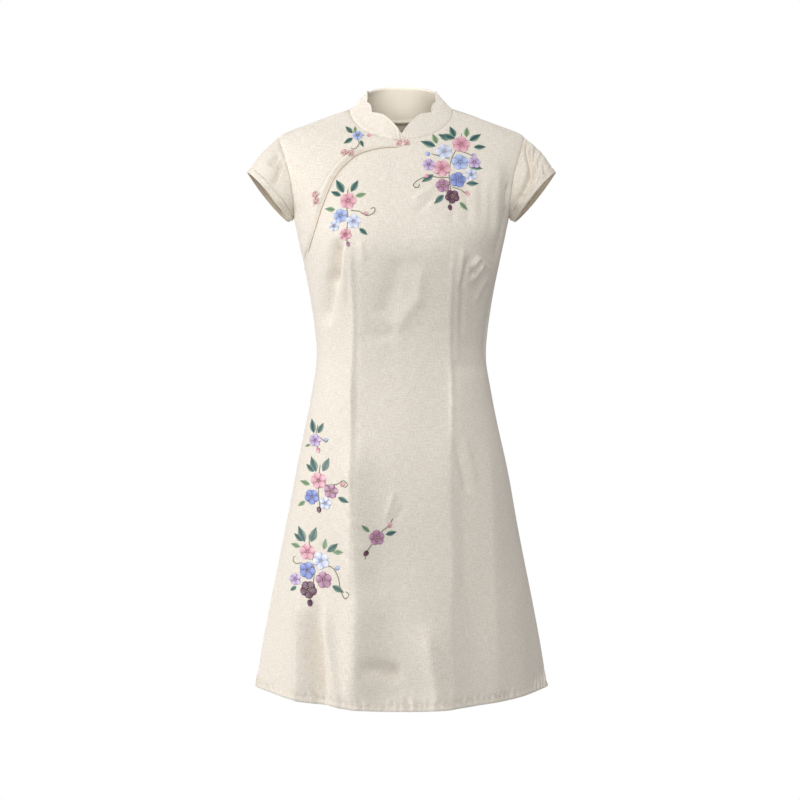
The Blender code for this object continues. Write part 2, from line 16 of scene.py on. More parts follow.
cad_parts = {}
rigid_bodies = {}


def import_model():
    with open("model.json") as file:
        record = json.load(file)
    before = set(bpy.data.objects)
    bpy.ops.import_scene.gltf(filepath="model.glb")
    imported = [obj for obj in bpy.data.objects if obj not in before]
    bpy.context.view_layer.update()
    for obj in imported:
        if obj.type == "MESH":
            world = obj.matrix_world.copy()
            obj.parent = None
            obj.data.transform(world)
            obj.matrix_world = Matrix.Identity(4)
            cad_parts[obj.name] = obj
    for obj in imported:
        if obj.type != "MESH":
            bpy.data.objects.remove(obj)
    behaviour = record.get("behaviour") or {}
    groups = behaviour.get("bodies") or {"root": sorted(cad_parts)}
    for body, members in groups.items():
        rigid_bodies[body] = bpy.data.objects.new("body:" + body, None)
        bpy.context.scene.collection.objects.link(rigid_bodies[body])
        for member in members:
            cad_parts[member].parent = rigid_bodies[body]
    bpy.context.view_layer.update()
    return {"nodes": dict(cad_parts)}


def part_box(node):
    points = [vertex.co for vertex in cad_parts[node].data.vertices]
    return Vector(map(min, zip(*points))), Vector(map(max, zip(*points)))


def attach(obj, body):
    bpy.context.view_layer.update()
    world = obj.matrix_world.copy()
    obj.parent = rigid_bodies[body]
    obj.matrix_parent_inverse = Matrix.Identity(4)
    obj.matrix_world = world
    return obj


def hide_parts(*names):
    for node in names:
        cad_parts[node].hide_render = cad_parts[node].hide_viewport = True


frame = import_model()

bl_info = {
    "name": "Cheongsam dress",
    "version": (1, 0, 0),
    "blender": (4, 5, 0),
    "location": "3D View > Sidebar > Dress",
    "description": "Builds a hollow cheongsam dress with embroidery and flower-knot buttons",
    "category": "Object",
}

MM = 0.001
CLOTH_SLOT = "ivory_cloth"
CORD_SLOT = "pink_cord"
HEM = -835.0            # height of the hem at the side seams
HEM_TOP = HEM + 5.0     # the outline below this is the hem
THREAD_SPACING = 1.1    # of the cloth's drawn threads


# ---------------------------------------------------------------- colour and materials
def linear(hex_code):
    """An sRGB hex code as linear red, green and blue."""
    parts = [int(hex_code[i:i + 2], 16) / 255 for i in (0, 2, 4)]
    return [c / 12.92 if c <= 0.04045 else ((c + 0.055) / 1.055) ** 2.4 for c in parts]


def add(tree, kind, settings=None, **links):
    """Adds a node. settings are its properties, or its sockets by name or number; links join its
    sockets, with _ for a space, to other nodes' outputs."""
    made = tree.nodes.new("ShaderNode" + kind)
    for key, value in (settings or {}).items():
        if isinstance(key, int) or key in made.inputs:
            made.inputs[key].default_value = value
        else:
            setattr(made, key, value)
    for key, source in links.items():
        name = int(key[1:]) if key[0] == "n" and key[1:].isdigit() else key.replace("_", " ")
        tree.links.new(made.inputs[name], source)
    return made


def new_material(name, roughness, sheen=0.0, sheen_roughness=0.5):
    """An empty Principled material and its node tree and shader."""
    made = bpy.data.materials.new(name)
    made.use_nodes = True
    shader = made.node_tree.nodes["Principled BSDF"]
    shader.inputs["Roughness"].default_value = roughness
    shader.inputs["Sheen Weight"].default_value = sheen
    shader.inputs["Sheen Roughness"].default_value = sheen_roughness
    shader.inputs["Specular IOR Level"].default_value = 0.25
    return made, made.node_tree, shader


def vary(tree, shader, texture, spread, colour, bump=None):
    """Makes a colour, or that of a socket, lighter and darker with a texture. spread is the texture's
    range and the range of lightness; bump is the strength, and the depth in mm, of its relief."""
    limits = dict(zip(("From Min", "From Max", "To Min", "To Max"), spread))
    value = add(tree, "MapRange", limits, Value=texture.outputs[0])
    tint = add(tree, "HueSaturation", Value=value.outputs[0])
    if isinstance(colour, bpy.types.NodeSocket):
        tree.links.new(tint.inputs["Color"], colour)
    else:
        tint.inputs["Color"].default_value = (*colour, 1.0)
    tree.links.new(shader.inputs["Base Color"], tint.outputs[0])
    if bump:
        settings = {"Strength": bump[0], "Distance": bump[1] * MM}
        relief = add(tree, "Bump", settings, Height=texture.outputs[0])
        tree.links.new(shader.inputs["Normal"], relief.outputs[0])


def linen_material(name, base, thread, depth):
    """Plain-woven linen blend, piece-dyed and pressed: uneven threads, matt, a soft bloom at the edges.
    Real threads are 0.5 mm apart, too fine to show, so they are drawn wider."""
    made, tree, shader = new_material(name, 0.82, sheen=0.12)
    uv = add(tree, "UVMap", {"uv_map": "weave"}).outputs[0]
    parts = []
    for across, along in ((1.0, 0.1), (0.1, 1.0), (0.5, 0.42)):
        scale = (across / THREAD_SPACING, along / THREAD_SPACING, 1.0)
        turned = add(tree, "Mapping", {"Scale": scale}, Vector=uv)
        parts.append(add(tree, "TexNoise", {"Scale": 1.0, "Detail": 2.0}, Vector=turned.outputs[0]))
    threads = parts[0]
    for part in parts[1:]:
        threads = add(tree, "Math", {"operation": "ADD"}, n0=threads.outputs[0], n1=part.outputs[0])
    mottle = add(tree, "TexNoise", {"Scale": 0.012, "Detail": 3.0}, Vector=uv)
    mix = add(tree, "MapRange", {"From Min": 1.2, "From Max": 1.8}, Value=threads.outputs[0])
    blend = add(tree, "Mix", {"data_type": "RGBA", 6: (*thread, 1.0), 7: (*base, 1.0)}, n0=mix.outputs[0])
    vary(tree, shader, mottle, (0.0, 1.0, 0.965, 1.035), blend.outputs[2])
    bump = add(tree, "Bump", {"Strength": 0.5, "Distance": depth * MM}, Height=threads.outputs[0])
    tree.links.new(shader.inputs["Normal"], bump.outputs[0])
    return made


def twisted_material(name, colour, twist, spread, bump, roughness, **sheen):
    """A twisted yarn: twist is the settings of its noise, and spread and bump are as in vary."""
    made, tree, shader = new_material(name, roughness, **sheen)
    twist = add(tree, "TexNoise", twist, Vector=add(tree, "TexCoord").outputs["Object"])
    vary(tree, shader, twist, spread, colour, bump)
    return made


def cord_material(name, colour):
    """Rayon satin bias cord: smooth and lustrous, with a fine twist at about 1.1 mm."""
    return twisted_material(name, colour, {"Scale": 900.0, "Detail": 2.0}, (0.3, 0.7, 0.85, 1.12),
                            (0.6, 0.12), 0.4, sheen=0.25, sheen_roughness=0.3)


def thread_material(name, colour):
    """Twisted cotton thread: matt, with a fine twist at about 0.6 mm."""
    return twisted_material(name, colour, {"Scale": 1600.0, "Detail": 1.0}, (0.0, 1.0, 0.85, 1.12), None,
                            0.75)


def floss_material(name):
    """Stranded silk in satin stitch: smooth lustrous threads side by side, in the colours of its
    attribute. Strands are 0.4 mm apart, drawn at 0.8 mm to show."""
    made, tree, shader = new_material(name, 0.42, sheen=0.2, sheen_roughness=0.35)
    shader.inputs["Specular IOR Level"].default_value = 0.45
    colour = add(tree, "Attribute", {"attribute_name": "floss"}).outputs[0]
    uv = add(tree, "UVMap", {"uv_map": "thread"}).outputs[0]
    stretched = add(tree, "Mapping", {"Scale": (1.25, 0.08, 1.0)}, Vector=uv)
    strands = add(tree, "TexNoise", {"Scale": 1.0, "Detail": 1.0}, Vector=stretched.outputs[0])
    vary(tree, shader, strands, (0.3, 0.7, 0.8, 1.14), colour, (0.7, 0.15))
    return made


# Each linen's colour, thread colour and the depth of its relief in mm.
LINENS = {
    "ivory_linen": ("colour", "thread_colour", 0.10),
    # the inside: a darker copy of the cloth, painted shade for the unlit reverse inside the dress
    "ivory_linen_inside": ("shaded_inside_colour", "thread_colour", 0.10),
    # the facing: a lighter copy of the cloth, painted light for light falling into neck and collar
    "ivory_linen_facing": ("painted_light_facing_colour", "painted_light_facing_colour", 0.06),
}


def linen(cloth, name):
    """One of the linens, made once: the dress's outside; its inside, darker as painted shade; and the facing
    in neck and collar, lighter as painted light.
    """
    colour, thread, depth = LINENS[name]
    return bpy.data.materials.get(name) or linen_material(
        name, getattr(cloth, colour), getattr(cloth, thread), depth)


# ---------------------------------------------------------------- pieces
def mesh_of(bm, name, *materials):
    """A smooth mesh of a bmesh, which it frees."""
    made = bpy.data.meshes.new(name)
    for material in materials:
        made.materials.append(material)
    bm.to_mesh(made)
    bm.free()
    made.shade_smooth()
    return made


def finish_piece(made, name, slot, *replaced):
    """Puts a mesh in the scene as a piece that rides on the dress."""
    piece = bpy.data.objects.new(name, made)
    bpy.context.scene.collection.objects.link(piece)
    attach(piece, "root")
    if replaced:
        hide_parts(*replaced)
    return piece


def outer_side(node, thickness):
    """The outside of a CAD wall of cloth as a bmesh of quads: its rims are the triangles that have an
    edge exactly as long as the wall is thick."""
    bm = bmesh.new()
    bm.from_mesh(frame["nodes"][node].data)
    bmesh.ops.remove_doubles(bm, verts=bm.verts[:], dist=1e-5)
    thick = thickness * MM
    across = [edge for edge in bm.edges if abs(edge.calc_length() - thick) < 0.01 * thick]
    rims = {face for edge in across for face in edge.link_faces}
    bmesh.ops.delete(bm, geom=list(rims), context="FACES_ONLY")
    bmesh.ops.delete(bm, geom=[edge for edge in bm.edges if not edge.link_faces], context="EDGES")
    left, sides = set(bm.faces), []
    for start in bm.faces:
        if start not in left:
            continue
        side = [start]
        left.discard(start)
        for face in side:
            near = [other for edge in face.edges for other in edge.link_faces if other in left]
            left.difference_update(near)
            side += near
        sides.append(side)
    sides.sort(key=lambda side: sum(face.calc_area() for face in side))
    inner = [face for side in sides[:-1] for face in side]
    bmesh.ops.delete(bm, geom=inner, context="FACES")
    loose = [vert for vert in bm.verts if not vert.link_faces]
    bmesh.ops.delete(bm, geom=loose, context="VERTS")
    join_grid(bm)
    return bm


def slant(diagonal):
    """How far the quad on both sides of a diagonal is from a rectangle."""
    a, b = diagonal.verts
    c, d = (next(vert for vert in face.verts if vert not in diagonal.verts) for face in diagonal.link_faces)
    ring = [vert.co for vert in (a, c, b, d)]
    return sum(abs((ring[i - 1] - p).normalized().dot((ring[(i + 1) % 4] - p).normalized()))
               for i, p in enumerate(ring))


def join_grid(bm):
    """Joins a grid's triangles to quads, each beside those already found, so that rows and columns run
    through. The last quad at a point is sure; where none is, the straightest pair starts again."""
    sides = {edge for edge in bm.edges if edge.is_boundary}
    free = set(bm.faces)
    full = {vert: 2 if vert.is_boundary else 4 for vert in bm.verts}
    diagonals = []
    while free:
        found = None
        for vert in bm.verts:
            near = [face for face in vert.link_faces if face in free]
            if full[vert] != 1 or not 1 <= len(near) <= 2:
                continue
            shared = [edge for edge in near[0].edges if edge in near[-1].edges
                      and (vert in edge.verts) == (len(near) == 2)][:1]
            if any(len(edge.link_faces) == 2 and free.issuperset(edge.link_faces) for edge in shared):
                found = shared[0]
                break
        if found is None:
            pairs = [edge for edge in bm.edges if edge not in sides and free.issuperset(edge.link_faces)
                     and any(side in sides for face in edge.link_faces for side in face.edges)]
            if not pairs:
                break
            found = min(pairs, key=slant)
        diagonals.append(found)
        for vert in {vert for face in found.link_faces for vert in face.verts}:
            full[vert] -= 1
        for face in found.link_faces:
            free.discard(face)
            sides.update(edge for edge in face.edges if edge is not found)
    bmesh.ops.dissolve_edges(bm, edges=diagonals)


def add_hem_row(bm, height):
    """Splits the lowest row of a panel so that the hem has a row of its own, height mm wide."""
    low = {vert for vert in bm.verts if vert.co.z < HEM_TOP * MM}
    upright = [edge for edge in bm.edges if (edge.verts[0] in low) != (edge.verts[1] in low)]
    split = bmesh.ops.subdivide_edges(bm, edges=upright, cuts=1, use_grid_fill=True)
    for vert in {item for item in split["geom_inner"] if isinstance(item, bmesh.types.BMVert)}:
        for foot in {edge.other_vert(vert) for edge in vert.link_edges} & low:
            vert.co = foot.co + (vert.co - foot.co).normalized() * height * MM


def crease_corners(bm, sharpest=35.0):
    """Keeps the corners of the cloth's outline, such as at the neck and the shoulder tip."""
    crease = bm.verts.layers.float.get("crease_vert") or bm.verts.layers.float.new("crease_vert")
    for vert in bm.verts:
        rim = [edge for edge in vert.link_edges if edge.is_boundary]
        if len(rim) == 2:
            a, b = (edge.other_vert(vert).co - vert.co for edge in rim)
            if 180.0 - math.degrees(a.angle(b)) > sharpest:
                vert[crease] = 1.0


def smoothed(bm, levels):
    """A mesh of the bmesh after Catmull-Clark subdivision."""
    crease_corners(bm)
    rough = mesh_of(bm, "rough")
    holder = bpy.data.objects.new("rough", rough)
    bpy.context.scene.collection.objects.link(holder)
    step = holder.modifiers.new("Smooth", "SUBSURF")
    step.levels = step.render_levels = levels
    step.boundary_smooth = "PRESERVE_CORNERS"
    graph = bpy.context.evaluated_depsgraph_get()
    made = bpy.data.meshes.new_from_object(holder.evaluated_get(graph))
    bpy.data.objects.remove(holder)
    bpy.data.meshes.remove(rough)
    return made


def points_of(made):
    """Vertex places in mm and normals, as arrays."""
    places = np.empty(len(made.vertices) * 3, np.float32)
    made.vertices.foreach_get("co", places)
    normals = np.empty(len(made.vertices) * 3, np.float32)
    made.vertex_normals.foreach_get("vector", normals)
    return places.reshape(-1, 3).astype(float) / MM, normals.reshape(-1, 3).astype(float)


def give_thickness(piece, thickness, inside=1):
    """A live Solidify that lays the cloth's thickness inwards, with the inside as its own material."""
    wall = piece.modifiers.new("Cloth", "SOLIDIFY")
    wall.thickness = thickness * MM
    wall.offset = -1.0
    wall.material_offset = inside
    wall.material_offset_rim = 0


def finish_cloth(made, points, weave, materials, name, node, thickness):
    """Makes a shaped mesh into a sheet of cloth that stands for a CAD node. points are its vertices and weave
    their places on the cloth, both in mm."""
    made.vertices.foreach_set("co", (points * MM).astype(np.float32).ravel())
    made.update()
    layer = made.uv_layers.new(name="weave")
    corner = np.empty(len(made.loops), np.int32)
    made.loops.foreach_get("vertex_index", corner)
    layer.data.foreach_set("uv", np.stack(weave, axis=1)[corner].astype(np.float32).ravel())
    for material in materials:
        made.materials.append(material)
    made.shade_smooth()
    piece = finish_piece(made, name, CLOTH_SLOT, node)
    give_thickness(piece, thickness)


def outline(made):
    """The open edges of a mesh as closed rings of vertex numbers, the longest first."""
    uses = {}
    for polygon in made.polygons:
        for key in polygon.edge_keys:
            uses[key] = uses.get(key, 0) + 1
    linked = {}
    for (a, b), count in uses.items():
        if count == 1:
            linked.setdefault(a, []).append(b)
            linked.setdefault(b, []).append(a)
    rings = []
    while linked:
        ring = [min(linked)]
        while linked.get(ring[-1]):
            after = linked[ring[-1]].pop()
            linked[after].remove(ring[-1])
            ring.append(after)
        linked = {v: near for v, near in linked.items() if near}
        rings.append(ring)
    return sorted(rings, key=len, reverse=True)


def cuff_of(made, points):
    """The outline's ring that lies furthest out: the open end of a sleeve."""
    return max(outline(made), key=lambda ring: np.abs(points[ring, 0]).mean())


def edge_distance(made, points, wanted):
    """For each vertex, how far it is in mm from the outline's vertices that are wanted."""
    rim = {v for ring in outline(made) for v in ring if wanted(v)}
    if not rim:
        return np.full(len(points), 1e3)
    tree = KDTree(len(rim))
    for v in sorted(rim):
        tree.insert(Vector(points[v]), v)
    tree.balance()
    return np.array([tree.find(Vector(p))[2] for p in points])


# ---------------------------------------------------------------- folds
# A soft ridge (or trough, below zero) from one point to another, out from the middle and by height:
# half width, rise, sharp from 0 for a round top to 1 for a pressed edge, trough, how deep the cloth dips
# beside it as a share of the rise, and lean, how many times wider one side is. Where a crease runs down,
# its trough and lean are on the side towards +X.
Crease = namedtuple("Crease", "x0 z0 x1 z1 width rise sharp trough lean", defaults=(0.0, 0.0, 1.0))


def smooth_step(x):
    """0 to 1 with level ends, as x goes from 0 to 1."""
    x = np.clip(x, 0.0, 1.0)
    return x * x * (3.0 - 2.0 * x)


def bell(x, middle, width):
    """A round bump that is 1 at its middle and fades over its width."""
    return np.exp(-(((x - middle) / width) ** 2))


def creased(x, z, creases):
    """How far the creases raise the cloth at each point, in mm."""
    total = np.zeros(len(x))
    for c in creases:
        dx, dz = c.x1 - c.x0, c.z1 - c.z0
        length = math.hypot(dx, dz)
        along = ((x - c.x0) * dx + (z - c.z0) * dz) / length**2
        aside = ((x - c.x0) * dz - (z - c.z0) * dx) / length / c.width
        ends = smooth_step(along / 0.35 + 0.35) * smooth_step((1.0 - along) / 0.35 + 0.35)
        aside = np.where(aside < 0.0, aside / c.lean, aside)
        edge = np.exp(0.15 - np.hypot(aside, 0.15))
        shape = (1.0 - c.sharp) * bell(aside, 0.0, 1.0) + c.sharp * edge
        total += c.rise * ends * (shape - c.trough * bell(aside, -1.5, 0.9))
    return total


def rumple(points, size, stretch, seed):
    """Smooth noise from -1 to 1, with lumps of the given size in mm, stretched along height."""
    shift = Vector((seed * 17.3, seed * 5.1, seed * 9.7))
    return np.array([
        noise.noise(Vector((p[0] / size, p[1] / size, p[2] / size / stretch)) + shift) for p in points
    ])


FRONT_CREASES = tuple(Crease(*row) for row in (
    # the waist darts' pressed edges, and how the cloth stands at them lower down
    (-70, -205, -71, -620, 5, 0.9, 1.0, 0.8), (69, -225, 68, -480, 5, 0.9, 1.0, 0.8),
    (-70, -488, -60, -700, 15, 11.0, 0.4, 0.0, 1.6), (-60, -690, -64, -848, 15, 10.0, 0.4, 0.0, 1.6),
    # left dart's pucker
    (-80, -200, -81, -285, 5, 2.4), (-85, -202, -93, -262, 10, -13.0, 0.0, 0.0, 0.5),
    (-93, -248, -104, -312, 11, -8.0, 0.0, 0.0, 0.6),
    # draping under the bust
    (27, -240, 23, -290, 9, 2.2, 0.3), (24, -280, -8, -324, 10, 2.4, 0.3),
    (-2, -228, -12, -275, 12, -2.0), (-12, -268, -26, -306, 14, -2.2), (-8, -330, -62, -336, 9, -1.6),
    (0, -201, 58, -200, 2.5, 0.5),
    # the waist
    (-60, -333, -38, -340, 4, 1.0, 0.5), (-44, -340, -19, -346, 4, 1.0, 0.5),
    (40, -326, 66, -327, 4, -1.0, 0.5), (72, -376, 122, -374, 9, -2.0),
    # right bust dart and the folds under it
    (105, -222, 128, -240, 3, 2.6, 0.5, 0.6), (107, -224, 98, -238, 3.2, 4.5),
    (114, -232, 100, -257, 3.4, 4.8), (110, -228, 97, -250, 2.6, -3.4), (124, -246, 108, -284, 3.6, 2.6),
    (84, -214, 79, -266, 3.2, 3.2), (93, -224, 87, -268, 3.4, -3.2), (106, -240, 104, -372, 28, -6.5),
    (79, -262, 77, -372, 5, 1.4), (88, -262, 86, -330, 6, -1.8),
    # by the armholes
    (134, -84, 124, -205, 34, 8.0, 0.3, 0.0, 0.35), (150, -116, 147, -158, 3.4, -5.0, 0.2),
    (147, -154, 133, -218, 3.6, -7.0, 0.2),
    # soft streaks down the right bust
    (88, -100, 87, -142, 4, -1.5), (69, -120, 71, -180, 4, -1.6), (110, -106, 109, -166, 5, -1.6),
    (122, -120, 118, -190, 4.5, -1.3), (99, -120, 98, -186, 5, 1.0), (-150, -110, -140, -170, 7, -1.6),
    # end of the right waist dart
    (76, -478, 92, -552, 6, -3.4), (86, -474, 100, -536, 6, 1.8), (84, -540, 88, -700, 10, -1.8),
    # the skirt's right side turns back along a soft edge
    (120, -470, 132, -850, 20, 7.0, 0.9, 0.0, 1.6),
    # pulled cloth round the embroidery
    (-84, -508, -68, -540, 3.5, 1.9), (-98, -590, -80, -612, 3.5, 1.8), (-90, -622, -74, -642, 3.5, -1.8),
    (-22, -586, -10, -548, 3.2, 2.0), (-14, -592, 4, -568, 3.2, -1.8), (-46, -596, -68, -586, 3.2, 2.0),
    (-46, -624, -66, -626, 3.2, 1.8), (-120, -706, -104, -726, 3.5, -2.0),
    (46, -140, 22, -162, 4.5, -2.2), (44, -128, 16, -144, 4.5, 1.8), (90, -130, 92, -178, 4, -2.0),
    (-58, -204, -50, -230, 4, 1.6),
    # the hem's folds
    (-142, -692, -143, -850, 6, 14.0, 1.0, 0.0, 4.0), (-114, -700, -106, -850, 13, -11.0, 0.0, 0.0, 0.6),
    (-108, -706, -82, -848, 7, 7.5, 0.5), (-54, -788, -2, -796, 11, -9.0),
    (-80, -750, -36, -741, 2.5, -0.9), (-45, -662, 104, -660, 2.0, 0.5, 0.5),
    (-18, -700, -14, -850, 32, -4.5), (33, -735, 51, -850, 12, 6.0, 0.8, 0.0, 1.6),
))
BACK_CREASES = tuple(Crease(*row) for row in (
    # the waist darts
    (-62, -150, -64, -500, 5, 1.0, 1.0, 0.8), (62, -150, 64, -500, 5, 1.0, 1.0, 0.8),
    (-62, -160, -64, -520, 34, 3.0, 1.0), (62, -160, 64, -520, 34, 3.0, 1.0),
    # the waist
    (-30, -300, 34, -322, 12, -3.4), (-48, -352, 30, -344, 9, -3.2), (20, -372, 70, -366, 5, -1.4),
    (82, -326, 124, -345, 8, -3.0), (-124, -320, -80, -340, 8, -3.0),
    # by the armholes and under the neck
    (148, -98, 140, -176, 7, -3.0), (-148, -98, -141, -180, 7, -3.0), (-92, -60, -60, -140, 12, 2.0),
    (90, -66, 66, -150, 12, -2.0),
    # below the darts
    (66, -512, 86, -596, 7, -3.4), (-66, -512, -84, -606, 7, -3.4),
    # the hem's folds
    (-140, -650, -156, -848, 9, 8.0, 0.8, 0.0, 2.6), (-90, -700, -96, -848, 18, -5.0),
    (10, -640, 22, -848, 14, 6.0, 0.7, 0.0, 1.8), (74, -700, 86, -848, 14, -4.5),
    (146, -660, 160, -848, 12, 6.0, 0.8, 0.0, 0.5), (-30, -760, 16, -776, 10, -4.0),
))

RIGHT_SLEEVE_CREASES = tuple(Crease(*row) for row in (
    (-168, -78, -180, -116, 4, -7.5, 0.3, 0.0, 0.5), (-169, -66, -176, -82, 3, 3.0),
    (-171, -72, -188, -86, 4, -5.0), (-163, -112, -160, -150, 6, 1.6),
))
LEFT_SLEEVE_CREASES = tuple(Crease(*row) for row in (
    (180, -50, 186, -100, 4.4, -9.0, 0.2, 0.3), (192, -62, 186, -112, 4.0, -9.0, 0.2, 0.4),
    (186, -96, 168, -142, 4.6, -8.0, 0.2), (199, -70, 191, -120, 3.4, -8.0, 0.2, 0.4),
    (202, -78, 206, -104, 3.2, -4.5), (185, -58, 190, -88, 3.6, 3.5), (178, -84, 172, -122, 6, 2.4),
    (172, -132, 164, -158, 6, -3.0),
))

# The curved opening's edge, out from the middle and by height.
OPENING = (
    (-2, -64.6), (-31, -66.9), (-57, -74), (-71, -83), (-86, -98.3), (-96, -114), (-102.7, -129),
    (-108, -143), (-113, -156), (-119.5, -177), (-126, -195), (-133, -214), (-141, -232),
)
DARTS = 69.0          # from the middle of the front to each waist dart
DARTS_PROUD = 4.0     # how far the waist darts stand out
FLAT_CROWN = 3.5      # how far the front between them still rounds out
# The neck facing is real, but its lighter colour is painted light for the light falling inside the neck.
NECK_LIT_FACING = 45.0    # how far the facing reaches down inside the back


def depth_at(points, across):
    """The depth of a panel at a distance from its middle, as a smooth function of height."""
    levels = np.arange(points[:, 2].min() + 4.0, points[:, 2].max() - 16.0, 10.0)
    depths = []
    for level in levels:
        near = points[np.abs(points[:, 2] - level) < 9.0]
        order = np.argsort(np.abs(near[:, 0]))
        depths.append(np.interp(across, np.abs(near[order, 0]), near[order, 1]))
    return np.polynomial.Polynomial.fit(levels, depths, 9)


def pressed_front(points):
    """How far each point moves back to lay the front nearly flat between its waist darts, which stand
    proud. It starts at the bust, and is weaker down the skirt."""
    across, height = np.abs(points[:, 0]), points[:, 2]
    edge = depth_at(points, DARTS)(height)
    flat = edge - DARTS_PROUD - FLAT_CROWN * (1.0 - (across / DARTS) ** 2) - points[:, 1]
    proud = -DARTS_PROUD * np.exp(-np.clip(across - DARTS, 0.0, None) / 38.0)
    side = smooth_step((across - DARTS) / 7.0 + 0.5)
    held = smooth_step((-195.0 - height) / 75.0) * (1.0 - 0.35 * smooth_step((-560.0 - height) / 220.0))
    return held * np.where(side < 1.0, flat * (1.0 - side) + proud * side, proud)


def opening_distance(points):
    """How far each point is from the opening's edge in mm, seen from the front."""
    best = np.full(len(points), 1e6)
    for (x0, z0), (x1, z1) in zip(OPENING, OPENING[1:]):
        dx, dz = x1 - x0, z1 - z0
        t = np.clip(((points[:, 0] - x0) * dx + (points[:, 2] - z0) * dz) / (dx * dx + dz * dz), 0, 1)
        best = np.minimum(best, np.hypot(points[:, 0] - x0 - dx * t, points[:, 2] - z0 - dz * t))
    return best


def seamed(distance, depth=0.35):
    """A seam's shape at a distance from it: the cloth dips in at it, and rises over its allowance."""
    return 0.45 * bell(distance, 4.5, 3.0) - depth * bell(distance, 0.0, 1.7)


def hemmed(distance, width, pucker):
    """A turned hem's shape: three layers, a stitched groove, and puckers along it."""
    band = 0.9 * smooth_step((width - distance) / 1.5 + 0.5)
    return band - bell(distance, width, 1.6) + pucker * bell(distance, width + 2.0, 8.0)


def puckers(points, along, every, seed):
    """Uneven ripples along a hem, from about -1 to 1."""
    height = 1.0 + 1.2 * rumple(points, 40.0, 3.0, seed)
    shift = 5.0 * rumple(points, 24.0, 3.0, seed + 1)
    return height * np.sin(2 * math.pi * along / every + shift)


def round_body(points):
    """Signed distance round the body from the middle of the front or back, near enough for a weave."""
    middle = depth_at(points, 0.0)(np.clip(points[:, 2], HEM, -20.0))
    return np.sign(points[:, 0]) * (np.abs(points[:, 0]) + 0.75 * np.abs(points[:, 1] - middle))


def let_out(made, points, kept=None, by=0.3):
    """Moves a piece's outline, or the kept part of it, out by some mm, so that pieces meet at seams."""
    rim = {v for ring in outline(made) for v in ring}
    if kept is not None:
        rim &= kept
    for edge in made.edges:
        a, b = edge.vertices
        if (a in rim) != (b in rim):
            out, back = (a, b) if a in rim else (b, a)
            way = points[out] - points[back]
            points[out] += way * by / np.linalg.norm(way)


# ---------------------------------------------------------------- details on the cloth
def outer_surface(*names):
    """The outer faces of cloth pieces as one tree."""
    points, faces = [], []
    for name in names:
        made = bpy.data.objects[name].data
        start = len(points)
        points += [vert.co.copy() for vert in made.vertices]
        faces += [[start + v for v in polygon.vertices] for polygon in made.polygons]
    return BVHTree.FromPolygons(points, faces)


def on_front(tree, x, z):
    """The place on the front's cloth at x and z, in mm, and the way out of the cloth there."""
    spot, out, _, _ = tree.ray_cast(Vector((x, -400.0, z)) * MM, Vector((0.0, 1.0, 0.0)))
    if spot is None:
        raise RuntimeError(f"no cloth at {x:.0f}, {z:.0f}")
    return spot / MM, out


def run_along(path):
    """How far along a path each of its points is."""
    return np.concatenate([[0.0], np.cumsum([(b - a).length for a, b in zip(path, path[1:])])])


def rounded(path, spacing):
    """Points at an even spacing on a smooth curve through a path's points."""
    knots = [Vector(point) for point in path]
    knots = [2 * knots[0] - knots[1], *knots, 2 * knots[-1] - knots[-2]]
    fine = []
    for a, b, c, d in zip(knots, knots[1:], knots[2:], knots[3:]):
        for step in range(16):
            t = step / 16
            fine.append(0.5 * (2 * b + (c - a) * t + (2 * a - 5 * b + 4 * c - d) * t**2
                               + (3 * b - a - 3 * c + d) * t**3))
    fine.append(knots[-2])
    run = run_along(fine)
    count = max(2, int(run[-1] / spacing) + 1)
    wanted = np.linspace(0.0, run[-1], count)
    return [Vector([np.interp(w, run, [p[axis] for p in fine]) for axis in range(len(fine[0]))])
            for w in wanted]


def sewn(tree, places, lift):
    """Points on the front's cloth at places of x and z, lifted off it by some mm."""
    spots = (on_front(tree, *place) for place in places)
    return [spot + out * lift for spot, out in spots]


def add_tube(bm, path, radius):
    """A closed round cord along points in mm, thinner at its ends."""
    ring = bmesh.ops.create_circle(bm, segments=6, radius=1.0)["verts"]
    flat = [vert.co.copy() for vert in ring]
    edges = [edge for edge in bm.edges if edge.verts[0] in ring]
    ends = [edges]
    for number, point in enumerate(path):
        ahead = path[min(number + 1, len(path) - 1)] - path[max(number - 1, 0)]
        turn = ahead.to_track_quat("Z", "Y").to_matrix()
        if number:
            more = bmesh.ops.extrude_edge_only(bm, edges=edges)["geom"]
            ring = [item for item in more if isinstance(item, bmesh.types.BMVert)]
            edges = [item for item in more if isinstance(item, bmesh.types.BMEdge)
                     and item.verts[0] in ring and item.verts[1] in ring]
        size = radius * (0.55 if number in (0, len(path) - 1) else 1.0)
        for vert, corner in zip(ring, flat):
            vert.co = (point + turn @ corner * size) * MM
    ends.append(edges)
    for rim in ends:
        bmesh.ops.holes_fill(bm, edges=rim)


THREAD_HALF_WIDTH, THREAD_HALF_HEIGHT, THREAD_LIFT = 0.3, 0.26, 0.1


def add_stitches(bm, path, ways_out, length, gap):
    """Stitches along points in mm: short padded dashes that lie on the cloth."""
    run = run_along(path)
    for start in np.arange(0.0, run[-1] - length, length + gap):
        at = start + length / 2
        number = min(int(np.searchsorted(run, at)), len(path) - 1)
        share = (at - run[number - 1]) / max(run[number] - run[number - 1], 1e-6)
        spot = path[number - 1].lerp(path[number], share)
        along = (path[number] - path[number - 1]).normalized()
        out = ways_out[number]
        aside = out.cross(along).normalized()
        turn = Matrix((along, aside, out)).transposed().to_4x4()
        size = Matrix.Diagonal((length / 2, THREAD_HALF_WIDTH, THREAD_HALF_HEIGHT, 1.0))
        move = Matrix.Translation((spot + out * THREAD_LIFT) * MM) @ turn @ size @ Matrix.Scale(MM, 4)
        bmesh.ops.create_icosphere(bm, subdivisions=1, radius=1.0, matrix=move)


def finish_detail(bm, name, materials, slot=None, *replaced):
    """Makes a bmesh of closed shapes into a piece that rides on the dress."""
    bmesh.ops.recalc_face_normals(bm, faces=bm.faces[:])
    finish_piece(mesh_of(bm, name, *materials), name, slot, *replaced)


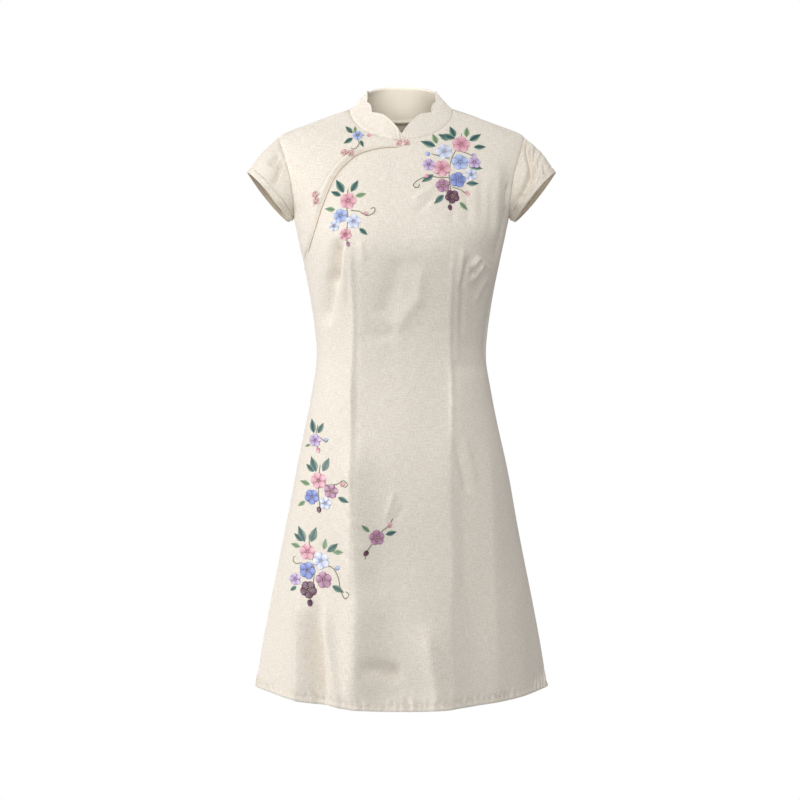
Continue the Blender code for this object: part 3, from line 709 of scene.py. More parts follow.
# ---------------------------------------------------------------- cloth
def underlap_relief(points, opening):
    """How far the small front's turned edge and the seam below its armhole stand out, with opening the
    distance to the large front's edge."""
    x, y, height = points.T
    band = smooth_step((-62.0 - height) / 20.0) * smooth_step((height + 165.0) / 20.0)
    edge = 0.6 * bell(opening, 6.0, 2.0) - 0.5 * bell(opening, 10.0, 1.2)
    by_seam = bell(y, -46.0, 14.0) * smooth_step((-190.0 - height) / 15.0) * (x < 0)
    return 1.5 * by_seam - 1.2 * bell(opening, 0.0, 3.0) + band * edge


def tuck(points):
    """Moves the small front's lower corner in under the large front, so that the opening ends closed."""
    x, y, height = points.T
    share = smooth_step((y + 34.0) / 14.0) * smooth_step((-212.0 - height) / 12.0) * (x < 0)
    points += share[:, None] * np.array(CORNER_TUCK)


HEM_ROW = 9.0                      # height of the panels' lowest row of faces, which the hem takes up
HEM_WIDTH = 7.0                    # from the hem's edge to its stitches
PUCKER, PUCKER_EVERY = 2.1, 11.0   # height and spacing of the hem's puckers
CORNER_TUCK = (4.4, 0.0, -12.0)    # how far the small front's corner moves
CALM, PRESS_FADE = 12.0, 24.0      # how near to a seam the creases, and the pressing, fade out
FREE_EDGE = 4.0                    # the large front's outline this near to the opening isn't sewn
RUMPLES = ((0.6, 45.0, 2.5, 0), (0.18, 12.0, 2.0, 5))    # height, size, stretch and seed step

# The node, piece, creases, seed of the uneven cloth, and the cut's width, length and area in metres.
Panel = namedtuple("Panel", "node name creases seed flat area")
PANELS = (
    Panel("front_panel", "front_cloth", FRONT_CREASES, 1, (0.54, 0.84), 0.325),
    Panel("front_underlap", "underlap_cloth", FRONT_CREASES, 1, (0.19, 0.22), 0.030),
    Panel("back_panel", "back_cloth", BACK_CREASES, 2, (0.54, 0.85), 0.345),
)


class DRESS_OT_panels(bpy.types.Operator):
    """Large front, small front and back"""

    bl_idname = "dress.panels"
    bl_label = "Fronts and back"

    def execute(self, context):
        cloth = context.scene.dress_cloth
        outside = linen(cloth, "ivory_linen")
        # the panels' inside takes the darker linen, painted shade for the unlit inside
        materials = (outside, linen(cloth, "ivory_linen_inside"), outside, linen(cloth, "ivory_linen_facing"))
        for panel in PANELS:
            front, underlap = (panel.node == node for node in ("front_panel", "front_underlap"))
            bm = outer_side(panel.node, cloth.thickness)
            if not underlap:
                add_hem_row(bm, HEM_ROW)
            made = smoothed(bm, 3)
            points, normals = points_of(made)
            opening = opening_distance(points)
            free = opening < FREE_EDGE if front else np.zeros(len(points), bool)
            seam = edge_distance(made, points, lambda v: points[v, 2] > HEM_TOP and not free[v])
            if front:
                points[:, 1] += pressed_front(points) * smooth_step(seam / PRESS_FADE)
            rise = creased(points[:, 0], points[:, 2], panel.creases)
            for height, size, stretch, step in RUMPLES:
                rise += height * rumple(points, size, stretch, panel.seed + step)
            rise = rise * smooth_step(seam / CALM) + seamed(seam)
            hem = edge_distance(made, points, lambda v: points[v, 2] < HEM_TOP)
            ripple = PUCKER * puckers(points, round_body(points), PUCKER_EVERY, panel.seed + 9)
            rise += hemmed(hem, HEM_WIDTH, ripple)
            if front:
                rise += 0.7 * bell(opening, 0.0, 2.5)
            if underlap:
                rise += underlap_relief(points, opening)
            points += normals * rise[:, None]
            weave = (points[:, 0].copy() if underlap else round_body(points), points[:, 2].copy())
            if underlap:
                tuck(points)
            let_out(made, points)
            finish_cloth(made, points, weave, materials, panel.name, panel.node, cloth.thickness)
            if panel.node == "back_panel":
                # the back's inside near the neck takes the facing, painted lighter as if lit through the neck
                for polygon in made.polygons:
                    if polygon.center.z > -NECK_LIT_FACING * MM:
                        polygon.material_index = 2
        return {"FINISHED"}


SLEEVE_LOW, SLEEVE_TIP = np.array((163.5, -162.5)), np.array((223.0, -92.0))    # ends of its hem
CUFF_WIDTH = 9.0       # from the sleeve's edge to its stitches
CUFF_CALM, ARMHOLE_CALM = 14.0, 9.0    # how near to its two edges a sleeve's creases fade out
BEHIND = 0.6           # share of its creases on the half behind
TUBE_RADIUS = 60.0     # of a sleeve and of the collar, near enough for a weave


def flattened_sleeve(points):
    """How far each point of a sleeve moves forward or back to flatten the lower half of its front and
    back, as a cap sleeve hangs."""
    half = (SLEEVE_TIP - SLEEVE_LOW) / 2
    places = np.stack([np.abs(points[:, 0]), points[:, 2]], axis=1)
    along = (places - SLEEVE_LOW - half) @ half / (half @ half)
    share = np.clip(-along, 0.0, 0.97)
    fuller = np.sqrt((1.0 - share**4) / (1.0 - share**2)) - 1.0
    return points[:, 1] * np.minimum(fuller, 0.35)


class DRESS_OT_sleeves(bpy.types.Operator):
    """Two cap sleeves"""

    bl_idname = "dress.sleeves"
    bl_label = "Sleeves"

    def execute(self, context):
        cloth = context.scene.dress_cloth
        # the sleeves' inside takes the darker linen, painted shade for the shade inside the sleeve
        materials = (linen(cloth, "ivory_linen"), linen(cloth, "ivory_linen_inside"))
        for side, creases in (("left", LEFT_SLEEVE_CREASES), ("right", RIGHT_SLEEVE_CREASES)):
            made = smoothed(outer_side(f"sleeve_{side}", cloth.thickness), 4)
            points, normals = points_of(made)
            cuff = cuff_of(made, points)
            to_cuff = edge_distance(made, points, set(cuff).__contains__)
            to_armhole = edge_distance(made, points, lambda v: v not in cuff)
            rise = creased(points[:, 0], points[:, 2], creases) + 0.5 * rumple(points, 22.0, 2.0, 4)
            rise *= smooth_step(to_cuff / CUFF_CALM) * smooth_step(to_armhole / ARMHOLE_CALM)
            rise *= np.where(points[:, 1] > 0.0, BEHIND, 1.0)
            ripple = 0.15 * rumple(points, 7.0, 1.0, 8)
            rise += seamed(to_armhole) + 1.3 * hemmed(to_cuff, CUFF_WIDTH, ripple)
            rise += 0.7 * bell(to_cuff, 11.5, 1.2) - 0.5 * bell(to_cuff, 4.0, 1.2)
            points[:, 1] += flattened_sleeve(points) * smooth_step(to_armhole / PRESS_FADE)
            middle = points.mean(axis=0)
            round_arm = np.arctan2(points[:, 1] - middle[1], points[:, 2] - middle[2]) * TUBE_RADIUS
            points += normals * rise[:, None]
            let_out(made, points)
            finish_cloth(made, points, (round_arm, to_cuff), materials, f"sleeve_cloth_{side}",
                         f"sleeve_{side}", cloth.thickness)
        return {"FINISHED"}


NECK_SEAM = (-53.5, 0.0, -12.0)    # height of the collar's foot in front, at the side and behind
FOOT_BAND = 9.0                    # how far above that a point of its outline still is on the foot
GATHERS, GATHER_SPAN = 84.0, 12.0  # gathers to a whole turn, and how many degrees from the front they go


class DRESS_OT_collar(bpy.types.Operator):
    """Scalloped stand collar"""

    bl_idname = "dress.collar"
    bl_label = "Collar"

    def execute(self, context):
        cloth = context.scene.dress_cloth
        made = smoothed(outer_side("collar", cloth.collar_thickness), 3)
        points, normals = points_of(made)
        turn = np.degrees(np.arctan2(points[:, 0], -points[:, 1]))
        seam = np.interp(np.abs(turn), (0.0, 90.0, 180.0), NECK_SEAM)
        foot = set(np.flatnonzero(points[:, 2] < seam + FOOT_BAND).tolist())
        to_foot = edge_distance(made, points, foot.__contains__)
        to_top = edge_distance(made, points, lambda v: v not in foot)
        spread = turn / (1.0 + to_foot / 30.0)
        gathers = np.cos(np.radians(spread * GATHERS)) * bell(spread, 0.0, GATHER_SPAN)
        rise = 0.9 * gathers * smooth_step(1.1 - to_foot / 16.0)
        rise += 0.4 * bell(to_top, 0.0, 1.6) - 0.35 * bell(to_top, 3.0, 1.3)
        rise += seamed(to_foot) + 0.35 * rumple(points, 18.0, 1.0, 3) * smooth_step(to_foot / 8.0)
        points += normals * rise[:, None]
        let_out(made, points, foot, 1.0)
        # the collar's inside is the facing, painted lighter to stand in for light inside the collar
        materials = (linen(cloth, "ivory_linen"), linen(cloth, "ivory_linen_facing"))
        finish_cloth(made, points, (np.radians(turn) * TUBE_RADIUS, points[:, 2]), materials,
                     "collar_cloth", "collar", cloth.collar_thickness)
        return {"FINISHED"}


# ---------------------------------------------------------------- embroidery
# Colours of stranded silk: at a petal's heart and at its edge.
FLOSS = {
    "pink": ("C4768E", "F3C9D0"),
    "ice": ("A9B8DC", "F1F2F8"),
    "lilac": ("A084BC", "E0D0E8"),
    "blue": ("7C92CE", "CBD8F2"),
    "violet": ("5566B4", "9DACE0"),
    "mauve": ("8A5478", "CBA0BA"),
    "plum": ("452538", "7B5068"),
    "leaf": ("144A58", "9DBB9A"),
    "pale": ("5F8462", "CAD8B0"),
}
TWIG = "77784E"
STAMEN = "E9D9A0"
DARK = ("plum", "mauve", "violet")    # blossoms in these have pale knots

# In mm: how far satin stitch lies above the cloth, a petal's step up to the next, how far the padding
# rises, and the thickness of the floss.
PETAL_LIFT, PETAL_STEP, BUD_LIFT, LEAF_LIFT = 0.12, 0.1, 0.35, 0.1
PETAL_RISE, BUD_RISE, LEAF_RISE = 0.65, 0.8, 0.55
FLOSS_THICKNESS = 0.5
TWIG_SPACING, TWIG_LIFT, TWIG_RADIUS = 2.2, 0.15, 0.6
KNOT_LIFT, KNOT_RADIUS = 0.75, 0.72
KNOT_RING = 0.26    # how far from a blossom's middle its knots lie, as a share of its radius

# A blossom of five petals: its middle, radius, turn in degrees and colour.
Blossom = namedtuple("Blossom", "x z radius turn colour")
BLOSSOMS = tuple(Blossom(*row) for row in (
    (84, -60, 12.5, 10, "pink"), (60, -72, 11.5, 40, "ice"), (82, -88, 11.5, 25, "blue"),
    (56, -98, 12, 60, "pink"), (78, -115, 11, 5, "violet"), (57, -124, 9.5, 30, "mauve"),
    (70, -140, 9.5, 50, "plum"), (102, -88, 8.5, 15, "lilac"), (97, -107, 8.5, 50, "ice"),
    (38, -93, 8.5, 20, "lilac"), (-62, -46, 7, 20, "blue"), (-74, -146, 11, 0, "pink"),
    (-84, -167, 9.5, 35, "blue"), (-66, -176, 9.5, 12, "ice"), (-77, -194, 8, 50, "pink"),
    (-93, -181, 7, 20, "ice"), (-122, -478, 8.5, 15, "lilac"), (-116, -534, 11, 30, "pink"),
    (-98, -548, 9.5, 8, "mauve"), (-126, -557, 10, 55, "violet"), (-106, -565, 8, 10, "ice"),
    (-132, -634, 11, 20, "pink"), (-112, -645, 11.5, 45, "ice"), (-132, -660, 11.5, 0, "violet"),
    (-108, -671, 11, 28, "mauve"), (-130, -686, 11.5, 60, "plum"), (-150, -674, 8, 35, "lilac"),
    (-34, -610, 10, 24, "mauve"),
))

# A bud or a leaf: where it starts, its turn in degrees from +X, length, width and colour.
Sprout = namedtuple("Sprout", "x z turn length width colour")
BUDS = tuple(Sprout(*row) for row in (
    (40, -78, 150, 8, 6.5, "blue"), (98, -76, -20, 8, 6.5, "lilac"), (66, -152, -80, 8.5, 6.5, "plum"),
    (88, -132, -40, 8, 6, "pink"), (38, -110, 190, 7.5, 6, "pink"), (-49, -47, 10, 6.5, 5, "pink"),
    (-52, -166, 20, 7, 5.5, "pink"), (-74, -204, -80, 7.5, 5.5, "mauve"), (-118, -488, -75, 8, 6, "pink"),
    (-109, -478, 20, 7, 5.5, "blue"), (-84, -540, 40, 8, 6, "pink"), (-116, -570, -80, 9, 7, "plum"),
    (-92, -655, 30, 8, 6, "blue"), (-128, -699, -85, 10, 8, "plum"), (-18, -596, 60, 8, 6, "pink"),
    (-46, -628, 230, 9, 7, "plum"),
))
LEAVES = tuple(Sprout(*row) for row in (
    (76, -48, 112, 19, 10, "leaf"), (76, -50, 170, 24.5, 11, "leaf"), (96, -54, 35, 21.5, 10, "leaf"),
    (92, -48, 85, 17.5, 9, "pale"), (48, -64, 160, 23, 11, "leaf"), (50, -60, 110, 17.5, 9, "pale"),
    (94, -94, -10, 20, 9.5, "leaf"), (92, -100, -50, 17.5, 8, "pale"), (44, -108, 215, 20, 9.5, "leaf"),
    (90, -120, 0, 17.5, 8, "leaf"), (58, -138, 225, 19, 9, "leaf"), (80, -148, -45, 16, 7.5, "pale"),
    (-70, -42, 130, 16, 8, "leaf"), (-66, -41, 92, 11, 5.5, "pale"), (-69, -50, 215, 16, 8, "leaf"),
    (-58, -54, -70, 12, 6, "leaf"), (-80, -134, 120, 23, 11, "leaf"), (-70, -133, 60, 20, 9.5, "leaf"),
    (-64, -140, 15, 16, 8, "pale"), (-92, -158, 170, 15, 8, "pale"), (-58, -186, -40, 15, 7.5, "leaf"),
    (-124, -468, 100, 21.5, 9.5, "leaf"), (-118, -468, 60, 17.5, 8, "leaf"),
    (-129, -484, 200, 9, 4.5, "pale"), (-120, -522, 110, 23, 11, "leaf"),
    (-110, -521, 65, 21.5, 10, "leaf"), (-129, -540, 165, 16, 8, "pale"),
    (-88, -556, -20, 17.5, 8, "leaf"), (-136, -564, 215, 13.5, 7, "pale"),
    (-136, -621, 115, 24.5, 11, "leaf"), (-127, -620, 70, 23, 11, "leaf"),
    (-143, -628, 170, 15, 7.5, "pale"), (-103, -632, 40, 20, 9.5, "leaf"),
    (-108, -629, 80, 16, 8, "pale"), (-96, -678, -25, 19, 9, "leaf"), (-148, -684, 215, 12, 6, "leaf"),
    (-22, -606, 15, 16, 7.5, "leaf"), (-44, -602, 140, 15, 7, "pale"), (66, -54, 142, 17, 9, "leaf"),
    (102, -64, 5, 18, 8.5, "leaf"), (-84, -138, 155, 16, 8, "leaf"), (-123, -522, 140, 16, 8, "leaf"),
    (-139, -620, 145, 17, 8.5, "leaf"), (-95, -632, 5, 15, 7.5, "pale"),
))

# Thin twigs and curled ends, out from the middle and by height.
TWIGS = (
    ((86, -42), (80, -62), (70, -84), (66, -108), (68, -132), (66, -156)),
    ((80, -70), (92, -74), (100, -78)),
    ((68, -84), (54, -80), (42, -76)),
    ((66, -112), (50, -112), (38, -110), (24, -116), (16, -124), (22, -128), (25, -122)),
    ((70, -126), (82, -130), (88, -134)),
    ((-76, -34), (-64, -44), (-52, -46)),
    ((-62, -52), (-60, -60), (-66, -68), (-72, -66)),
    ((-74, -128), (-76, -150), (-74, -172), (-76, -196), (-74, -206)),
    ((-70, -160), (-58, -162), (-48, -168), (-38, -164), (-37, -157), (-43, -158)),
    ((-118, -456), (-121, -474), (-118, -490)),
    ((-114, -474), (-106, -480), (-102, -476)),
    ((-114, -512), (-116, -530), (-116, -552), (-114, -574)),
    ((-108, -540), (-90, -538), (-80, -532), (-74, -538), (-79, -542)),
    ((-130, -610), (-128, -632), (-122, -656), (-124, -684), (-128, -704)),
    ((-118, -652), (-98, -652), (-88, -664), (-84, -682), (-78, -694), (-72, -688), (-77, -684)),
    ((-140, -650), (-150, -652), (-154, -646), (-150, -642)),
    ((-28, -602), (-18, -594), (-12, -584)),
    ((-40, -618), (-48, -630), (-50, -640)),
)


def beside(flower, reach, degrees):
    """The x and z of a place at some distance and direction from a flower's middle."""
    angle = math.radians(degrees)
    return flower.x + reach * math.cos(angle), flower.z + reach * math.sin(angle)


def petal_outline(a):
    """Half width of a petal, as a share, from its heart at 0 to its rounded edge at 1."""
    if a > 0.58:
        return math.sqrt(max(0.0, 1.0 - ((a - 0.58) / 0.42) ** 2))
    return 0.14 + 0.86 * math.sin(math.pi / 2 * a / 0.58)


def leaf_outline(a):
    """Half width of a leaf, as a share, from its stem at 0 to its point at 1."""
    return math.sin(math.pi * a**0.8) ** 1.1


def bud_outline(a):
    """Half width of a bud, as a share, from its stem at 0 to its tip at 1."""
    return math.sqrt(max(0.0, 1.0 - (2.0 * a - 1.0) ** 2)) * (1.1 - 0.3 * a)


def add_satin(bm, tree, sprout, outline_of, lift, rise, vein=False):
    """A patch of satin stitch: a padded shape that lies on the front, with its threads' run as UV."""
    floss = bm.verts.layers.float_color["floss"]
    heart, edge = (linear(code) for code in FLOSS[sprout.colour])
    turn = math.radians(sprout.turn)
    grid = bmesh.ops.create_grid(bm, x_segments=8, y_segments=6, size=1.0)["verts"]
    threads = {}
    for vert in grid:
        a, b = (vert.co.x + 1.0) / 2, vert.co.y
        along, aside = a * sprout.length, b * outline_of(a) * sprout.width / 2
        x = sprout.x + along * math.cos(turn) - aside * math.sin(turn)
        z = sprout.z + along * math.sin(turn) + aside * math.cos(turn)
        spot, out = on_front(tree, x, z)
        ends = math.sin(math.pi * min(max(a, 0.02), 0.98)) ** 0.4
        height = rise * math.sqrt(max(0.0, 1.0 - b * b)) * ends
        if vein:
            height -= 0.7 * rise * math.exp(-(b / 0.2) ** 2)
        vert.co = (spot + out * (lift + height)) * MM
        shade = b * b if vein else a * (1.0 - 0.75 * b**6)
        vert[floss] = (*[h + (e - h) * shade for h, e in zip(heart, edge)], 1.0)
        threads[vert] = (along - 0.9 * abs(aside), aside) if vein else (aside, along)
    threads_uv = bm.loops.layers.uv["thread"]
    for face in {face for vert in grid for face in vert.link_faces}:
        for loop in face.loops:
            loop[threads_uv].uv = threads[loop.vert]


def new_floss_bmesh():
    """A bmesh with a colour for each point, and a map of how its threads run."""
    bm = bmesh.new()
    bm.verts.layers.float_color.new("floss")
    bm.loops.layers.uv.new("thread")
    return bm


class DRESS_OT_embroidery(bpy.types.Operator):
    """Sprays of blossom in satin stitch"""

    bl_idname = "dress.embroidery"
    bl_label = "Embroidery"

    def execute(self, context):
        tree = outer_surface("front_cloth", "underlap_cloth")
        silk = floss_material("silk_floss")
        petals = new_floss_bmesh()
        for flower in BLOSSOMS:
            for k in range(5):
                turn = flower.turn + 72 * k
                petal = Sprout(*beside(flower, 1.0, turn), turn, flower.radius, flower.radius, flower.colour)
                lift = PETAL_LIFT + PETAL_STEP * ((k * 2) % 5)
                add_satin(petals, tree, petal, petal_outline, lift, PETAL_RISE)
        for bud in BUDS:
            add_satin(petals, tree, bud, bud_outline, BUD_LIFT, BUD_RISE)
        leaves = new_floss_bmesh()
        for leaf in LEAVES:
            add_satin(leaves, tree, leaf, leaf_outline, LEAF_LIFT, LEAF_RISE, vein=True)
        for bm, name in ((petals, "petal_embroidery"), (leaves, "leaf_embroidery")):
            bmesh.ops.remove_doubles(bm, verts=bm.verts[:], dist=1e-6)
            patch = finish_piece(mesh_of(bm, name, silk), name, None)
            give_thickness(patch, FLOSS_THICKNESS, inside=0)
        twigs = new_floss_bmesh()
        for twig in TWIGS:
            add_tube(twigs, sewn(tree, rounded(twig, TWIG_SPACING), TWIG_LIFT), TWIG_RADIUS)
        floss = twigs.verts.layers.float_color["floss"]
        for vert in twigs.verts:
            vert[floss] = (*linear(TWIG), 1.0)
        finish_detail(twigs, "twig_embroidery", (silk,))
        knots = new_floss_bmesh()
        floss = knots.verts.layers.float_color["floss"]
        for flower in BLOSSOMS:
            for k in range(6):
                reach = 0.0 if k == 5 else KNOT_RING * flower.radius
                spot = sewn(tree, [beside(flower, reach, flower.turn + 36 + 72 * k)], KNOT_LIFT)[0]
                ball = bmesh.ops.create_icosphere(knots, subdivisions=1, radius=KNOT_RADIUS * MM,
                                                  matrix=Matrix.Translation(spot * MM))
                pale = flower.colour in DARK or k == 5
                for vert in ball["verts"]:
                    vert[floss] = (*linear(STAMEN if pale else FLOSS["plum"][1]), 1.0)
        finish_detail(knots, "french_knots", (silk,))
        return {"FINISHED"}


# ---------------------------------------------------------------- buttons, seams and stage
# A flower-knot button: how far from its middle and how high its loops and dots lie, and their radii.
# A loop half has an eye in its middle, and a knot half a ball.
Round = namedtuple("Round", "reach height radius")
LOOPS, DOTS = Round(3.1, 1.4, 1.45), Round(2.6, 2.4, 0.8)
EYE, BALL = Round(0.0, 2.2, 1.2), Round(0.0, 2.5, 2.0)
LOOP_CORD, EYE_CORD = 1.0, 0.9    # radius of the cord
DOT_COUNT = 3


def around(reach, turns, height):
    """The move in mm from a flower's middle to a place round it, by its share of a whole turn."""
    angle = 2 * math.pi * turns
    return Matrix.Translation(Vector((reach * math.cos(angle), reach * math.sin(angle), height)) * MM)


def add_ring(bm, move, reach, radius):
    """A closed ring of cord, moved from the origin: the ring's radius and the cord's, in mm."""
    made = bmesh.ops.create_circle(bm, segments=8, radius=radius * MM)["verts"]
    upright = around(reach, 0.0, 0.0) @ Matrix.Rotation(math.pi / 2, 4, "X")
    bmesh.ops.transform(bm, matrix=move @ upright, verts=made)
    edges = [edge for edge in bm.edges if edge.verts[0] in made]
    bmesh.ops.spin(bm, geom=made + edges, cent=move.translation, axis=(0.0, 0.0, 1.0), steps=12,
                   angle=2 * math.pi, use_merge=True, use_duplicate=False)


class DRESS_OT_buttons(bpy.types.Operator):
    """Three pairs of flower-knot buttons"""

    bl_idname = "dress.buttons"
    bl_label = "Flower-knot buttons"

    def execute(self, context):
        settings = context.scene.dress_buttons
        materials = (cord_material("pink_satin_cord", settings.cord_colour),
                     cord_material("dark_red_floss", settings.dot_colour))
        tree = outer_surface("front_cloth", "underlap_cloth")
        for pair in ("neck", "collarbone", "chest"):
            for number, part in enumerate(("loop", "knot")):
                node = f"button_{pair}_{part}"
                low, high = (Vector(corner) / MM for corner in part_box(node))
                middle = (low + high) / 2
                spot, out = on_front(tree, middle.x, middle.z)
                bm = bmesh.new()
                for k in range(settings.petals):
                    at = around(LOOPS.reach, (k + 0.5 * number) / settings.petals, LOOPS.height)
                    add_ring(bm, at, LOOPS.radius, LOOP_CORD)
                if part == "knot":
                    bmesh.ops.create_uvsphere(bm, u_segments=12, v_segments=8, radius=BALL.radius * MM,
                                              matrix=around(BALL.reach, 0.0, BALL.height))
                else:
                    add_ring(bm, around(EYE.reach, 0.0, EYE.height), EYE.radius, EYE_CORD)
                cord = set(bm.faces)
                for k in range(DOT_COUNT):
                    at = around(DOTS.reach, (k + 0.5 + 0.5 * number) / settings.petals, DOTS.height)
                    bmesh.ops.create_icosphere(bm, subdivisions=1, radius=DOTS.radius * MM, matrix=at)
                for face in set(bm.faces) - cord:
                    face.material_index = 1
                facing_out = out.to_track_quat("Z", "Y").to_matrix().to_4x4()
                bmesh.ops.transform(bm, matrix=Matrix.Translation(spot * MM) @ facing_out, verts=bm.verts[:])
                finish_detail(bm, f"pankou_{pair}_{part}", materials, CORD_SLOT, node)
        return {"FINISHED"}


STITCH = (2.3, 1.2)    # length of the hems' stitches and of the gaps between them
# The cord is a narrow piping; its dark tan is also painted shade for the shadow line where the large front
# laps over the small one.
EDGE_SPACING, EDGE_LIFT, EDGE_RADIUS = 3.0, 0.2, 0.55    # of the cord along the opening
EDGE_INSET = Vector((0.9, -0.9))    # from the opening's edge to its cord
# The way from the edge of each hem to its stitches.
STITCH_LINES = (
    ("front_cloth", (0.0, 0.0, 7.4)), ("back_cloth", (0.0, 0.0, 7.4)),
    ("sleeve_cloth_left", (-6.9, 0.0, 6.07)), ("sleeve_cloth_right", (6.9, 0.0, 6.07)),
)


class DRESS_OT_seams(bpy.types.Operator):
    """Stitches along the hems and the cord along the opening"""

    bl_idname = "dress.seams"
    bl_label = "Seams"

    def execute(self, context):
        cloth = context.scene.dress_cloth
        bm = bmesh.new()
        for name, up in STITCH_LINES:
            made = bpy.data.objects[name].data
            points = points_of(made)[0]
            if "sleeve" in name:
                rim = cuff_of(made, points)
            else:
                rim = [v for v in outline(made)[0] if points[v, 2] < HEM_TOP - 1.0]
                rim.sort(key=lambda v: points[v, 0])
            tree = outer_surface(name)
            found = [tree.find_nearest(Vector(points[v] + up) * MM)[:2] for v in rim[1:-1]]
            add_stitches(bm, [spot / MM for spot, _ in found], [out for _, out in found], *STITCH)
        thread = thread_material("cotton_thread", cloth.stitch_colour)
        finish_detail(bm, "hem_stitches", (thread,), CLOTH_SLOT)
        bm = bmesh.new()
        places = [place + EDGE_INSET for place in rounded(OPENING[:-1], EDGE_SPACING)[1:-1]]
        add_tube(bm, sewn(outer_surface("front_cloth"), places, EDGE_LIFT), EDGE_RADIUS)
        # the cord's dark tan is partly painted shade for the overlap's shadow line
        finish_detail(bm, "opening_cord", (thread_material("tan_edge_cord", cloth.edge_cord_and_shadow_colour),), CLOTH_SLOT)
        return {"FINISHED"}


# Places in metres: the camera, the dress's middle, the chest and the inside of the back neck.
CAMERA_AT = (-0.0022, -2.2, -0.4211)
MIDDLE, CHEST, BACK_NECK = (0.0, 0.0, -0.42), (0.0, 0.0, -0.15), (-0.003, 0.055, 0.001)


class DRESS_OT_stage(bpy.types.Operator):
    """Floor, backdrop, lights and camera"""

    bl_idname = "dress.stage"
    bl_label = "Stage"

    def execute(self, context):
        stage = context.scene.dress_stage
        scene = context.scene
        white = bpy.data.materials.new("white_paper")
        white.use_nodes = True
        white.node_tree.nodes.clear()
        glow = add(white.node_tree, "Emission", {"Strength": 1.0, "Color": (1, 1, 1, 1)})
        add(white.node_tree, "OutputMaterial", Surface=glow.outputs[0])
        bm = bmesh.new()
        bmesh.ops.create_uvsphere(bm, u_segments=48, v_segments=24, radius=14.0)
        floor = stage.floor_height * MM
        bmesh.ops.bisect_plane(bm, geom=bm.verts[:] + bm.edges[:] + bm.faces[:], plane_co=(0, 0, floor),
                               plane_no=(0, 0, 1), clear_inner=True)
        bmesh.ops.holes_fill(bm, edges=[edge for edge in bm.edges if edge.is_boundary])
        bmesh.ops.reverse_faces(bm, faces=bm.faces[:])
        backdrop = bpy.data.objects.new("backdrop", mesh_of(bm, "backdrop", white))
        backdrop.visible_diffuse = backdrop.visible_glossy = backdrop.visible_shadow = False
        backdrop.visible_transmission = False
        scene.collection.objects.link(backdrop)
        world = bpy.data.worlds.new("studio")
        world.use_nodes = True
        sky = world.node_tree.nodes["Background"]
        sky.inputs["Color"].default_value = (1.0, 1.0, 1.0, 1.0)
        sky.inputs["Strength"].default_value = stage.ambient
        scene.world = world
        lights = (
            ("front_light", MIDDLE, -5.0, -15.0, stage.light_distance, stage.front_power),
            ("side_light", MIDDLE, -80.0, 5.0, stage.light_distance, stage.side_power),
            ("top_light", CHEST, 0.0, 45.0, stage.top_distance, stage.top_power),
            ("neck_light", BACK_NECK, 8.0, 30.0, stage.light_distance, stage.neck_power),
        )
        for name, aim, azimuth, elevation, distance, power in lights:
            lamp = bpy.data.lights.new(name, "SPOT" if name == "neck_light" else "AREA")
            lamp.energy = power
            if lamp.type == "AREA":
                lamp.size = 1.2
            else:
                lamp.spot_size, lamp.spot_blend, lamp.shadow_soft_size = math.radians(2.5), 1.0, 0.04
            turn, climb = math.radians(azimuth), math.radians(elevation)
            way = Vector((math.sin(turn) * math.cos(climb), -math.cos(turn) * math.cos(climb),
                          math.sin(climb)))
            lamp_object = bpy.data.objects.new(name, lamp)
            lamp_object.location = Vector(aim) + way * distance
            lamp_object.rotation_euler = (-way).to_track_quat("-Z", "Y").to_euler()
            scene.collection.objects.link(lamp_object)
        camera = bpy.data.cameras.new("camera")
        camera.lens = 18.0 / math.tan(math.radians(stage.view_angle / 2))
        camera_object = bpy.data.objects.new("camera", camera)
        camera_object.location = CAMERA_AT
        camera_object.rotation_euler = (math.radians(90), 0, 0)
        scene.collection.objects.link(camera_object)
        scene.camera = camera_object
        scene.view_settings.view_transform = "Standard"
        return {"FINISHED"}


# ---------------------------------------------------------------- settings
def colour_setting(name, description, code):
    return FloatVectorProperty(name=name, description=description, subtype="COLOR", default=linear(code))


def number_setting(name, description, default, unit="NONE"):
    return FloatProperty(name=name, description=description, default=default, unit=unit)


class DressCloth(bpy.types.PropertyGroup):
    """Sizes and colours of the cloth"""

    thickness: number_setting("Thickness", "One layer of cloth, in mm", 1.2)
    collar_thickness: number_setting("Collar thickness", "Both layers of the collar, in mm", 1.8)
    colour: colour_setting("Cloth", "Colour of the cloth", "F2EBE1")
    thread_colour: colour_setting("Thread", "Colour of the darker threads", "DFD5C6")
    # painted light: the facing is lighter than the cloth to stand in for light inside neck and collar
    painted_light_facing_colour: colour_setting("Facing", "Colour of the collar's inside", "FFF6E6")
    stitch_colour: colour_setting("Stitches", "Colour of the sewing thread", "E2D6C2")
    # partly painted shade: the cord's dark tan stands in for the shadow line along the overlap
    edge_cord_and_shadow_colour: colour_setting("Edge cord", "Colour of the opening's edge", "BFA98C")
    # painted shade: the inside is darker than the cloth to stand in for the shade inside the dress
    shaded_inside_colour: colour_setting("Inside", "Colour of the cloth's inside", "DCCBB0")


class DressButtons(bpy.types.PropertyGroup):
    """Sizes and colours of the buttons"""

    petals: IntProperty(name="Petals", description="Loops of cord round each flower", default=4, min=3)
    cord_colour: colour_setting("Cord", "Colour of the buttons' cord", "E4BFBC")
    dot_colour: colour_setting("Dots", "Colour of the stitched dots", "8C3A44")


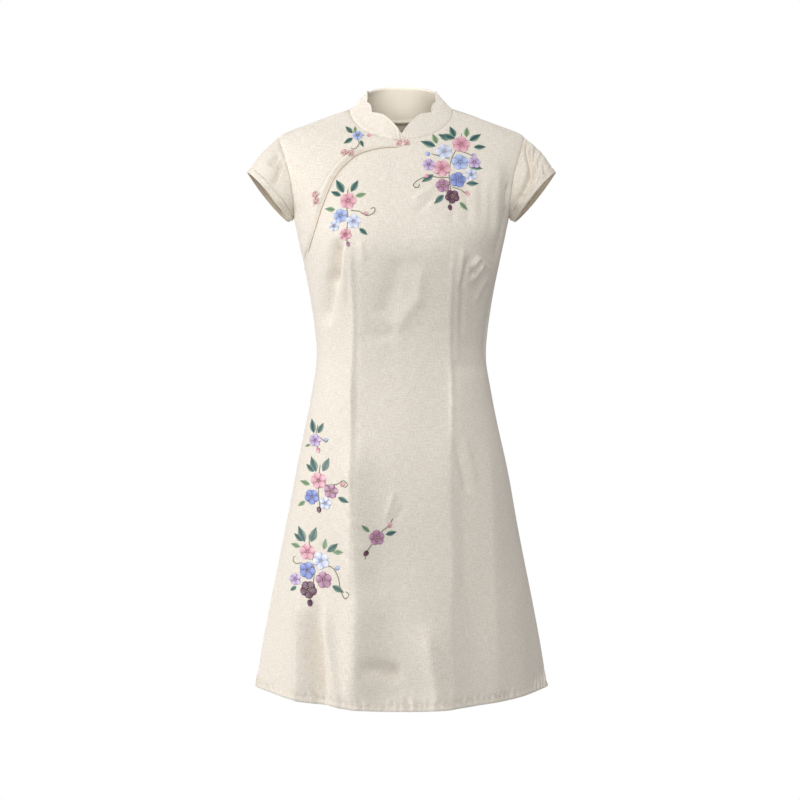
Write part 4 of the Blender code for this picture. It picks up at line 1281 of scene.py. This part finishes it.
class DressStage(bpy.types.PropertyGroup):
    """Floor, light and camera"""

    floor_height: number_setting("Floor", "Height of the floor, in mm", -1150.0)
    ambient: number_setting("Ambient", "Strength of the light from all round", 0.38)
    light_distance: number_setting("Light distance", "From the dress to each light", 3.4, "LENGTH")
    top_distance: number_setting("Top light distance", "From the chest to the top light", 1.7, "LENGTH")
    front_power: number_setting("Front light", "Power of the light in front, in W", 20.0)
    side_power: number_setting("Side light", "Power of the light beside the wearer's right, in W", 64.0)
    top_power: number_setting("Top light", "Power of the light above, in W", 14.6)
    neck_power: number_setting("Neck light", "Power of the narrow light into the collar, in W", 70.0)
    view_angle: number_setting("View angle", "Width of the camera's view, in degrees", 29.5)


class DRESS_PT_panel(bpy.types.Panel):
    """Lists the dress's pieces"""

    bl_idname = "DRESS_PT_panel"
    bl_label = "Dress"
    bl_space_type = "VIEW_3D"
    bl_region_type = "UI"
    bl_category = "Dress"

    def draw(self, context):
        for group in GROUPS:
            settings = getattr(context.scene, group)
            for key in settings.bl_rna.properties.keys():
                if key not in ("rna_type", "name"):
                    self.layout.prop(settings, key)
        for operator in OPERATORS:
            self.layout.operator(operator.bl_idname)


OPERATORS = (DRESS_OT_panels, DRESS_OT_sleeves, DRESS_OT_collar, DRESS_OT_seams, DRESS_OT_embroidery,
             DRESS_OT_buttons, DRESS_OT_stage)
GROUPS = {"dress_cloth": DressCloth, "dress_buttons": DressButtons, "dress_stage": DressStage}


def register():
    for group, settings in GROUPS.items():
        bpy.utils.register_class(settings)
        setattr(bpy.types.Scene, group, PointerProperty(type=settings))
    for cls in (*OPERATORS, DRESS_PT_panel):
        bpy.utils.register_class(cls)


def unregister():
    for cls in (DRESS_PT_panel, *reversed(OPERATORS)):
        bpy.utils.unregister_class(cls)
    for group, settings in GROUPS.items():
        delattr(bpy.types.Scene, group)
        bpy.utils.unregister_class(settings)


def main():
    register()
    for operator in OPERATORS:
        group, action = operator.bl_idname.split(".")
        getattr(getattr(bpy.ops, group), action)()


if __name__ == "__main__":
    main()
